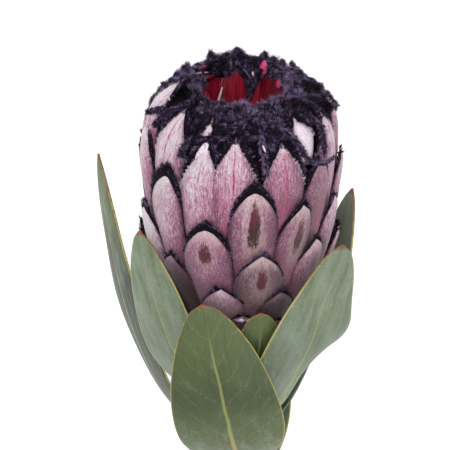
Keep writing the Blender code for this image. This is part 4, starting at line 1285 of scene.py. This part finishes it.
def build_fringes(beards):
    """The hairs of every bract's beard, which stand on its felt and fan out past its edge, in
    clumps, and the pale down on the upper edge of the bract itself."""
    rng = np.random.default_rng(3)
    table = bract_table()
    mean = 0.5 * (table["beard_left"] + table["beard_right"])

    def margin(count, spread_down, strength_power):
        """Hairs per bract, and a place along the edge of its upper part for each."""
        pick = np.repeat(np.arange(len(mean)), (count * mean ** strength_power).astype(int))
        bract = {name: column[pick] for name, column in table.items()}
        q = rng.uniform(-1, 1, len(pick))
        reach_down = spread_down * (0.5 + 0.5 * smooth(mean[pick], 0.5, 1.0))
        return bract, np.sign(q), 1 - np.abs(q) ** 1.25 * reach_down, pick

    def fan(root, side, along, steep):
        """Aims that go up at the tip and more and more sideways below it."""
        turn = np.arctan2(root[:, 0], -root[:, 1])
        lower = steep * smooth(1 - along, 0.0, 0.35)
        angle = np.radians(90 - lower + rng.normal(0, FAN_SCATTER, len(side)))
        out = around(turn, 1.0, 0.0)
        sideways = around(turn + np.pi / 2, 1.0, 0.0) * (side * np.cos(angle))[:, None]
        return sideways + UP * np.sin(angle)[:, None], out

    bract, side, along, pick = margin(beards.fringe_hairs, 0.60, 0.6)
    strength = np.where(side < 0, bract["beard_left"], bract["beard_right"])
    side_reach = beard_side(strength, along)
    loose = 1 - smooth(mean[pick], 0.6, 1.0)
    reach = (side_reach + 0.9) * (1 - loose) + 0.5 * loose
    inset = reach * rng.uniform(-0.05, 1, len(pick))
    half = (0.5 * bract["width"] + side_reach) * bract_outline(along, 0.3 * bract["point"])
    across = side * np.clip(1 - inset / np.maximum(half, 0.4), 0, 1)
    root = beard_points(bract, along, across, 0.25)
    aim, out = fan(root, side, along, FRINGE_FAN)
    clump = clumps_of(
        along * bract["length"] / FRINGE_CLUMP, side * 9 + inset / FRINGE_CLUMP_DEPTH, pick)
    clumps = clump.max() + 1
    stray = rng.normal(0, FRINGE_STRAY, (clumps, 3))[clump]
    aim = unit(aim + out * (rng.uniform(0.1, 0.9, len(pick)) - 0.3 * loose)[:, None] + stray)
    high = smooth(along, 0.8, 1.0)
    length = beards.hair_length / MM * (0.35 + 0.35 * strength + (0.50 + 0.55 * loose) * high)
    length = length * rng.uniform(0.5, 1.1, len(pick)) * rng.uniform(0.7, 1.25, clumps)[clump]
    pull = rng.choice(FRINGE_PULLS, (len(pick), 1), p=FRINGE_CHANCES)
    tip = gathered(root + aim * length[:, None], clump, pull)
    glow = rng.beta(1.3, 3.2, clumps)[clump] * (0.55 + 0.45 * smooth(strength, 0.5, 1.0))
    tint = np.clip(glow + rng.normal(0, 0.10, len(pick)), 0, 1)
    skin = hair_skin("fringe_hair", beards.black, beards.purple, 0.0, 0.85)
    parts = math.ceil(len(pick) / MOST_HAIRS)
    for k in range(parts):
        some = slice(len(pick) * k // parts, len(pick) * (k + 1) // parts)
        form = Form()
        fuzz(form, root[some], tip[some], beards.hair_width / MM, tint[some])
        form.piece(f"beard_fringe_{k + 1}", skin, "beard", flat=True)

    bract, side, along, pick = margin(beards.down_hairs, 0.45, 1.5)
    inset = rng.uniform(0, 1.0, len(pick)) ** 1.5
    some = bract["point"] > 0.5
    bract = {name: column[some] for name, column in bract.items()}
    side, along, pick, inset = side[some], along[some], pick[some], inset[some]
    half = 0.5 * bract["width"] * bract_outline(along, bract["point"])
    across = side * np.clip(1 - inset / np.maximum(half, 0.3), 0, 1)
    root = bract_points(bract, along, across, 0.15)
    aim, out = fan(root, side, along, DOWN_FAN)
    clump = clumps_of(along * bract["length"] / DOWN_CLUMP, side, pick)
    stray = rng.normal(0, DOWN_STRAY, (clump.max() + 1, 3))[clump]
    aim = unit(aim + out * rng.uniform(0.0, 0.5, len(pick))[:, None] + stray)
    tip = gathered(root + aim * rng.uniform(0.4, 1.3, (len(pick), 1)), clump, DOWN_PULL)
    form = Form()
    fuzz(form, root, tip, DOWN_WIDTH * beards.hair_width / MM, rng.uniform(0.3, 1, len(pick)))
    skin = hair_skin("down_hair", beards.down, beards.down, 0.0, 1.0)
    form.piece("bract_down", skin, "bract", flat=True)


def add_roll(form, rng, roll, beards):
    """Adds a roll of beard: a tube along a line of places, and hairs all round it, in clumps
    that lean along it."""
    start, end, light, line = roll
    azimuth, radius, height = np.array(line).T
    knots = np.linspace(0, 1, len(line))
    s = np.linspace(0, 1, ROLL_STATIONS)
    path = around(
        np.radians(np.interp(s, knots, azimuth)), np.interp(s, knots, radius),
        np.interp(s, knots, height))
    path[1:-1] = 0.5 * path[1:-1] + 0.25 * (path[:-2] + path[2:])
    long = np.linalg.norm(np.diff(path, axis=0), axis=1).sum()
    thick = start + (end - start) * s
    rounded = thick * 0.5 * np.sqrt(1.02 - (2 * s - 1) ** 6)
    tubes(form, path[None], rounded[None], ROLL_SIDES, np.array([0.0]))
    count = int(beards.roll_hairs * long * (start + end))
    at = rng.uniform(0, 1, count)
    spin = rng.uniform(0, math.tau, count)
    run = unit(np.gradient(path, axis=0))
    place = np.stack([np.interp(at, s, path[:, k]) for k in range(3)], axis=-1)
    way = unit(np.stack([np.interp(at, s, run[:, k]) for k in range(3)], axis=-1))
    across = unit(np.cross(way, OBLIQUE))
    away = across * np.cos(spin)[:, None] + np.cross(way, across) * np.sin(spin)[:, None]
    clump = clumps_of(at * long / ROLL_CLUMP, spin / ROLL_CLUMP + at * 6)
    clumps = clump.max() + 1
    stray = rng.normal(0, ROLL_STRAY, (clumps, 3))[clump]
    ends = way * (smooth(at, 0.9, 1.0) * 1.5 - smooth(at, 0.1, 0.0))[:, None]
    girth = np.interp(at, s, thick)[:, None]
    aim = unit(away + way * 0.8 + stray + ends + rng.normal(0, 0.15, (count, 3)))
    reach = rng.uniform(0.5, 1.1, (count, 1)) * rng.uniform(0.6, 1.3, (clumps, 1))[clump]
    root = place + away * 0.4 * girth
    tip = gathered(root + aim * reach * (0.35 + 0.65 * girth), clump, ROLL_PULL)
    glow = light * rng.uniform(0.1, 1.5, clumps)[clump]
    tint = np.clip(glow + rng.normal(0, 0.10, count), 0, 1)
    fuzz(form, root, tip, beards.hair_width / MM, tint)


def build_mouth(beards):
    """The hairs of the matted beards round the mouth, which stand off the mat in clumps and lean
    in over the cup, and the rolls of beard."""
    rng = np.random.default_rng(5)
    count = beards.mouth_hairs
    share = rng.uniform(0, 1, count)
    turn = rng.uniform(0, math.tau, count)
    root, stand = wool_points(turn, share, WOOL_ROOT_DEPTH)
    over = wool_points(turn + NORMAL_STEP, share, WOOL_ROOT_DEPTH)[0] - root
    up = wool_points(turn, share + NORMAL_STEP, WOOL_ROOT_DEPTH)[0] - root
    normal = unit(np.cross(over, up))
    out = around(turn, 1.0, 0.0)
    radius = np.hypot(root[:, 0], root[:, 1])
    jitter = rng.normal(0, 0.15, (2, count))
    clump = clumps_of(
        turn * MOUTH_RADIUS / MOUTH_CLUMP + jitter[0],
        share * WOOL_LENGTH / MOUTH_CLUMP + jitter[1], radius > 18)
    clumps = clump.max() + 1
    stray = rng.normal(0, MOUTH_STRAY, (clumps, 3))[clump]
    aim = normal + stray + rng.normal(0, 0.20, (count, 3))
    aim = unit(aim - out * (smooth(share, 0.2, 0.6) * 0.25)[:, None])
    length = beards.hair_length / MM * rng.uniform(0.5, 1.1, count)
    length = length * (0.65 + 0.2 * np.clip(stand, 0, 3))
    length = length * rng.uniform(0.65, 1.35, clumps)[clump]
    pull = rng.choice(MOUTH_PULLS, (count, 1), p=MOUTH_CHANCES)
    tip = gathered(root + aim * (length * (1.6 - pull[:, 0]))[:, None], clump, pull)
    patch = 0.9 + 0.3 * np.sin(3 * turn + 1.0) + 0.3 * np.sin(7 * turn + 11 * share)
    glow = rng.beta(1.1, 2.2, clumps)[clump] * patch
    # Painted highlight on the band across the rim and on the high lumps, and painted shade in the
    # low creases between them
    ridge = 0.18 * smooth(share, 0.25, 0.6) - 0.02 + (stand - 1.3) * 0.22
    tint = np.clip(glow * 0.95 + rng.normal(0, 0.12, count) + ridge, 0, 1)
    line_radius, line_height, _, _ = wool_line(share)
    keep = hollow(turn, line_radius, line_height, share) < BARE_DEPTH
    root, tip, tint = root[keep], tip[keep], tint[keep]
    skin = hair_skin("mouth_hair", beards.black, beards.purple, 0.0, 0.8)
    width = beards.hair_width / MM
    form = Form()
    fuzz(form, root[:MOST_HAIRS], tip[:MOST_HAIRS], width, tint[:MOST_HAIRS])
    form.piece("beard_mouth", skin, "beard", replaced=("beard_crown",), flat=True)
    form = Form()
    if len(root) > MOST_HAIRS:
        fuzz(form, root[MOST_HAIRS:], tip[MOST_HAIRS:], width, tint[MOST_HAIRS:])
    for roll in ROLLS:
        add_roll(form, rng, roll, beards)
    form.piece("beard_rolls", skin, "beard", flat=True)


def build_cup(cup):
    """The inner bracts that line the cup, as strips that bulge towards the axis, and the small
    bare tips and faces that show between the beards. Each strip goes from one place to another
    in azimuth, radius and height, and is as wide as the root of a sine along it."""
    rng = np.random.default_rng(8)
    strips = []
    for k in range(LINING_STRIPS):
        azimuth = k * 360 / LINING_STRIPS + rng.uniform(-3, 3)
        # The strips from 60 to 162 degrees get less red, which the cup's skin darkens: painted
        # shade
        red = 0.48 + rng.uniform(-0.2, 0.2) - (0.50 if 60 < azimuth < 162 else 0)
        out = 15.9 + 0.5 * (k % 2)
        top = rng.uniform(82.0, 83.5)
        strips.append((azimuth, out - 0.5, 57.0, azimuth, out, top, 4.6, red, 0.0, 0.2))
    for start, end, half, red, white in SLIVERS:
        strips.append((*start, *end, half, red, white, 1.0))
    column = [part[:, None, None] for part in np.array(strips).T]
    azimuth_a, radius_a, height_a, azimuth_b, radius_b, height_b, half, red, white, fine = column
    rise = height_b - height_a
    along = np.linspace(0, 1, 20)[None, :, None]
    across = np.linspace(-1, 1, 9)[None, None, :]
    half_width = half * np.sin(np.pi * (0.04 + 0.92 * along)) ** (0.25 + 0.45 * fine)
    radius = radius_a + (radius_b - radius_a) * along - 0.22 * half_width * (1 - across ** 2)
    azimuth = np.radians(azimuth_a + (azimuth_b - azimuth_a) * along)
    height = height_a + rise * along
    lean = np.abs(np.radians(azimuth_b - azimuth_a)) * radius_a / (np.abs(rise) + 0.01)
    flat = smooth(lean, 1.0, 3.0)

    def strip(reach):
        """Points of the strips at a radius: wide round the axis or, on a flat one, in height."""
        aside = -across * half_width * (1 - flat) * np.sign(rise) / reach
        return around(azimuth + aside, reach, height + across * half_width * flat)

    seeds = np.arange(len(strips))[:, None, None] * STRIP_NOISE_STEP
    form = Form()
    add_shells(
        form, strip(radius), strip(radius + STRIP_THICKNESS),
        place=(across * half_width, along * np.abs(rise), seeds),
        share=(across, 1 - (1 - along) * (1 - fine), 0.0), look=(red, white, 0.0))
    form.piece("cup_lining", cup_skin(cup), "floret")


def build_florets(cup):
    """Slender florets in a spiral, leaning in over the cup's floor: each path is straight and
    bends in towards its tip, and swells a little below it."""
    rng = np.random.default_rng(9)
    k = np.arange(FLORETS)
    share = np.sqrt((k + 0.5) / FLORETS)
    turn = k * GOLDEN_ANGLE
    out = around(turn, 1.0, 0.0)
    root = around(turn, share * 11.0, 56.3)
    s = np.linspace(0, 1, 8)[None, :]
    length = (17.5 - 3.5 * share + rng.uniform(-1, 1, FLORETS))[:, None]
    lean = (0.5 + 4.0 * share)[:, None]
    path = root[:, None] + UP * (s * length)[..., None]
    path = path - out[:, None] * (lean * s ** 1.6)[..., None]
    radius = 0.62 - 0.25 * s + 0.28 * np.exp(-((s - 0.82) / 0.1) ** 2) - 0.30 * smooth(s, 0.9, 1.0)
    radius = np.broadcast_to(radius, path.shape[:2])
    along = np.concatenate([np.repeat(s, FLORET_SIDES, axis=1), [[0.0, 1.0]]], axis=1)
    shape = (FLORETS, along.shape[1])
    form = Form()
    tubes(
        form, path, radius, FLORET_SIDES, k / FLORETS,
        share=vectors(shape, 0.0, along, k[:, None] * FLORET_NOISE_STEP))
    form.piece("floret_bundle", floret_skin(cup), "floret", replaced=("florets",))


def leaf_grid(form, rows, columns):
    """The middle of a leaf's blade as a grid, its outward normals, its half width and its
    sides' shares: a Bezier midrib from inside the stem's bark to the tip, a width that is a
    power of a sine along it, and sides that curve in from the azimuth that its back faces."""
    points = [np.array(point, float) for point in (*form["bends"], form["tip"])]
    radius, middle = stem_at(form["height"])
    aim = points[0] - middle
    points.insert(0, middle + aim * (1, 1, 0) / math.hypot(aim[0], aim[1]) * (radius - 0.6))
    v = np.linspace(0, 1, rows)[:, None]
    midrib, run = bezier(points, v)
    start, end = form["faces"]
    out = around(np.radians(start + (end - start) * v[:, 0]), 1.0, 0.0)
    out = unit(out - (out * run).sum(axis=1, keepdims=True) * run)
    side = np.cross(run, out)
    peak = math.log(0.5) / math.log(form["widest"])
    bulge = np.maximum(np.sin(np.pi * v ** peak), 0)
    power = form["base_form"] + (form["tip_form"] - form["base_form"]) * v
    half_width = 0.5 * form["width"] * bulge ** power
    stalk = 0.5 * LEAF_STALK_WIDTH * smooth(v, 0.34, 0.22)
    half_width = np.maximum(half_width, stalk + 0.25)
    across = signed_power(np.linspace(-1, 1, columns)[None, :], 0.85)
    slim = form.get("slim", 0)
    low = smooth(v, 0.80, 0.55) * smooth(v, 0.15, 0.35)
    half_width = half_width * (1 - abs(slim) * low * smooth(across * np.sign(slim), 0.0, 1.0))
    blade = (
        midrib[:, None] + side[:, None] * (half_width * across)[:, :, None]
        - out[:, None] * (form["cup"] * half_width * across ** 2)[:, :, None])
    curl = form.get("curl", 0) * low * smooth(across, 0.1, 1.0)
    blade = blade - out[:, None] * curl[:, :, None]
    wave = 0.35 * np.sin(v * 17 + form["width"]) * across ** 2 * np.sign(across)
    fold = form.get("folds", 0.1) * np.sin(v * 13 + across * 2.6)
    wave = wave + fold * np.cos(v * 7 - across * 3.1)
    blade = blade + out[:, None] * (wave * smooth(v, 0.2, 0.5) * smooth(v, 1.0, 0.8))[:, :, None]
    normal = unit(np.cross(np.gradient(blade, axis=1), np.gradient(blade, axis=0)))
    return blade, normal, half_width, across, v


def build_leaf(name, form, leaves, skin):
    """A blade with a ridge along its midrib, mostly on its back, a bead along its margin and a
    thick foot, which closes on the stem."""
    blade, normal, half_width, across, v = leaf_grid(form, LEAF_ROWS, LEAF_COLUMNS)
    half = 0.5 * leaves.thickness / MM
    from_edge = half_width * (1 - np.abs(across))
    x = half_width * across
    ridge = np.exp(-(x / (0.45 + 0.75 * (1 - v))) ** 2)
    bead = np.exp(-(from_edge / 0.35) ** 2)
    foot = smooth(v, 0.16, 0.0)
    plain = half * (1 - 0.55 * np.exp(-(from_edge / 0.12) ** 2)) + 0.10 * bead
    front = plain - 0.06 * ridge
    back = plain + 0.45 * (1.1 - v) * ridge
    outer = blade + normal * (front + foot)[..., None]
    inner = blade - normal * (back + foot)[..., None]
    length = np.linalg.norm(np.diff(blade[:, LEAF_COLUMNS // 2], axis=0), axis=1).sum()
    piece = Form()
    add_shells(
        piece, outer[None], inner[None], place=(x[None], v[None] * length, from_edge[None]),
        share=(across[None], v[None], INNER_FACE), look=form["looks"])
    piece.piece(f"{name}_blade", skin, "leaf", replaced=(name,))


def build_stem(stem):
    """The stem as one closed grid: rings along its route, with a swelling under the head, leaf
    scars as round bumps, and at either end rings that close in on the middle."""
    height = np.linspace(*STEM_ENDS, STEM_ROWS)
    radius, middle = stem_at(height)
    tall = height[:, None]
    turn = np.linspace(0, math.tau, STEM_COLUMNS, endpoint=False)
    bump = 0.10 * np.sin(tall * 0.21 + turn * 2) + 0.06 * np.sin(turn * 5 + tall * 0.05)
    for form in LEAVES.values():
        aim = math.atan2(form["bends"][0][0], -form["bends"][0][1])
        away = (turn - aim + np.pi) % math.tau - np.pi
        above = (tall - form["height"]) / SCAR_HEIGHT
        bump = bump + SCAR_RISE * np.exp(-above ** 2 - (away * SCAR_RADIUS / SCAR_WIDTH) ** 2)
    wall = around(turn[None], radius[:, None] + bump, tall) + middle[:, None] * (1, 1, 0)
    shrink = np.linspace(0.0, 1.0, STEM_END_RINGS + 2)[1:-1]
    ring = np.clip(np.arange(-STEM_END_RINGS, STEM_ROWS + STEM_END_RINGS), 0, STEM_ROWS - 1)
    out = np.concatenate([shrink, np.ones(STEM_ROWS), shrink[::-1]])[:, None]
    points = wall[ring] * out[..., None] + middle[ring, None] * (1 - out[..., None])
    along = np.linspace(0, 1, STEM_ROWS)[ring, None]
    shape = points.shape[:2]
    form = Form()
    add_turned(
        form, points, share=vectors(shape, turn, along, out),
        place=vectors(
            shape, np.abs(turn - np.pi) * STEM_RADIUS, along * STEM_LENGTH, out * STEM_RADIUS))
    form.piece("stem_bark", stem_skin(stem), "stem", replaced=("stem",))


def build_stage(stage):
    """The pale table, the soft lights and the camera, at the photo's angle to the flower."""
    paint = Paint("table_top", Emission_Color=opaque(stage.table), Emission_Strength=TABLE_GLOW)
    paint.surface(stage.table, 0.8)
    bpy.ops.mesh.primitive_plane_add(size=TABLE_SIZE)
    table = bpy.context.object
    table.name = "table"
    table.data.materials.append(paint.material)
    world = bpy.data.worlds.new("studio")
    world.use_nodes = True
    sky = world.node_tree.nodes["Background"]
    sky.inputs["Color"].default_value = (1, 1, 1, 1)
    sky.inputs["Strength"].default_value = stage.sky
    bpy.context.scene.world = world
    for name, (share, size, place) in LIGHTS.items():
        add_light(name, stage.key * share, size, place)
    angle = stage.elevation - math.radians(TILT)
    aim = lay_down(target(stage.elevation))
    camera_data = bpy.data.cameras.new("camera")
    camera_data.lens = stage.lens
    camera_data.sensor_width = SENSOR_WIDTH
    camera = bpy.data.objects.new("camera", camera_data)
    bpy.context.scene.collection.objects.link(camera)
    camera.location = aim + stage.camera_distance * np.array([0, math.sin(angle), math.cos(angle)])
    camera.rotation_euler = (-angle, 0, 0)
    bpy.context.scene.camera = camera
    bpy.context.scene.view_settings.view_transform = "Standard"


def target(elevation):
    """The point of the upright flower at the middle of the photo, in the plane through the
    head's base that faces the camera."""
    right = (PHOTO_MIDDLE - HEAD_BASE_X) * MM_PER_PIXEL
    up = (HEAD_BASE_Y - PHOTO_MIDDLE) * MM_PER_PIXEL
    return np.array([right, up * math.sin(elevation), up * math.cos(elevation)])


def add_light(name, power, size, place):
    """A round soft light that aims at the flower."""
    light = bpy.data.lights.new(name, "AREA")
    light.shape = "DISK"
    light.energy = power
    light.size = size
    lamp = bpy.data.objects.new(name, light)
    bpy.context.scene.collection.objects.link(lamp)
    lamp.location = place
    lamp.rotation_euler = (LIGHT_AIM - lamp.location).to_track_quat("-Z", "Y").to_euler()


# Operators

class BuildHead(bpy.types.Operator):
    """Build the bracts of the head and the core behind them"""

    bl_idname = "protea.build_head"
    bl_label = "Head"

    def execute(self, context):
        build_core(context.scene.protea_head)
        build_bracts(context.scene.protea_head)
        return {"FINISHED"}


class BuildBeards(bpy.types.Operator):
    """Build the fringes of the bracts and the beards round the mouth"""

    bl_idname = "protea.build_beards"
    bl_label = "Fringes and beards"

    def execute(self, context):
        build_felt(context.scene.protea_beards)
        build_fringes(context.scene.protea_beards)
        build_mouth(context.scene.protea_beards)
        return {"FINISHED"}


class BuildCup(bpy.types.Operator):
    """Build the inner bracts and the florets"""

    bl_idname = "protea.build_cup"
    bl_label = "Cup and florets"

    def execute(self, context):
        build_cup(context.scene.protea_cup)
        build_florets(context.scene.protea_cup)
        return {"FINISHED"}


class BuildStem(bpy.types.Operator):
    """Build the stem"""

    bl_idname = "protea.build_stem"
    bl_label = "Stem"

    def execute(self, context):
        build_stem(context.scene.protea_stem)
        return {"FINISHED"}


class BuildLeaves(bpy.types.Operator):
    """Build every leaf"""

    bl_idname = "protea.build_leaves"
    bl_label = "Leaves"

    def execute(self, context):
        leaves = context.scene.protea_leaves
        skin = leaf_skin(leaves)
        for name, form in LEAVES.items():
            build_leaf(name, form, leaves, skin)
        return {"FINISHED"}


class BuildStage(bpy.types.Operator):
    """Set up the table, the lights and the camera"""

    bl_idname = "protea.build_stage"
    bl_label = "Stage"

    def execute(self, context):
        build_stage(context.scene.protea_stage)
        return {"FINISHED"}


SETTINGS = {
    "protea_head": ProteaHead,
    "protea_beards": ProteaBeards,
    "protea_cup": ProteaCup,
    "protea_stem": ProteaStem,
    "protea_leaves": ProteaLeaves,
    "protea_stage": ProteaStage,
}
OPERATORS = (BuildHead, BuildBeards, BuildCup, BuildStem, BuildLeaves, BuildStage)


class ProteaPanel(bpy.types.Panel):
    """The flower's settings and the steps that build it"""

    bl_idname = "VIEW3D_PT_protea"
    bl_label = "Protea Flower"
    bl_space_type = "VIEW_3D"
    bl_region_type = "UI"
    bl_category = "Protea"

    def draw(self, context):
        for name, group in SETTINGS.items():
            box = self.layout.box()
            for prop in group.__annotations__:
                box.prop(getattr(context.scene, name), prop)
        for operator in OPERATORS:
            self.layout.operator(operator.bl_idname)


def register():
    for group in SETTINGS.values():
        bpy.utils.register_class(group)
    for name, group in SETTINGS.items():
        setattr(bpy.types.Scene, name, bpy.props.PointerProperty(type=group))
    for operator in OPERATORS:
        bpy.utils.register_class(operator)
    bpy.utils.register_class(ProteaPanel)


def unregister():
    bpy.utils.unregister_class(ProteaPanel)
    for operator in reversed(OPERATORS):
        bpy.utils.unregister_class(operator)
    for name in SETTINGS:
        delattr(bpy.types.Scene, name)
    for group in reversed(SETTINGS.values()):
        bpy.utils.unregister_class(group)


def main():
    register()
    bpy.ops.protea.build_head()
    bpy.ops.protea.build_beards()
    bpy.ops.protea.build_cup()
    bpy.ops.protea.build_stem()
    bpy.ops.protea.build_leaves()
    bpy.ops.protea.build_stage()


if __name__ == "__main__":
    main()
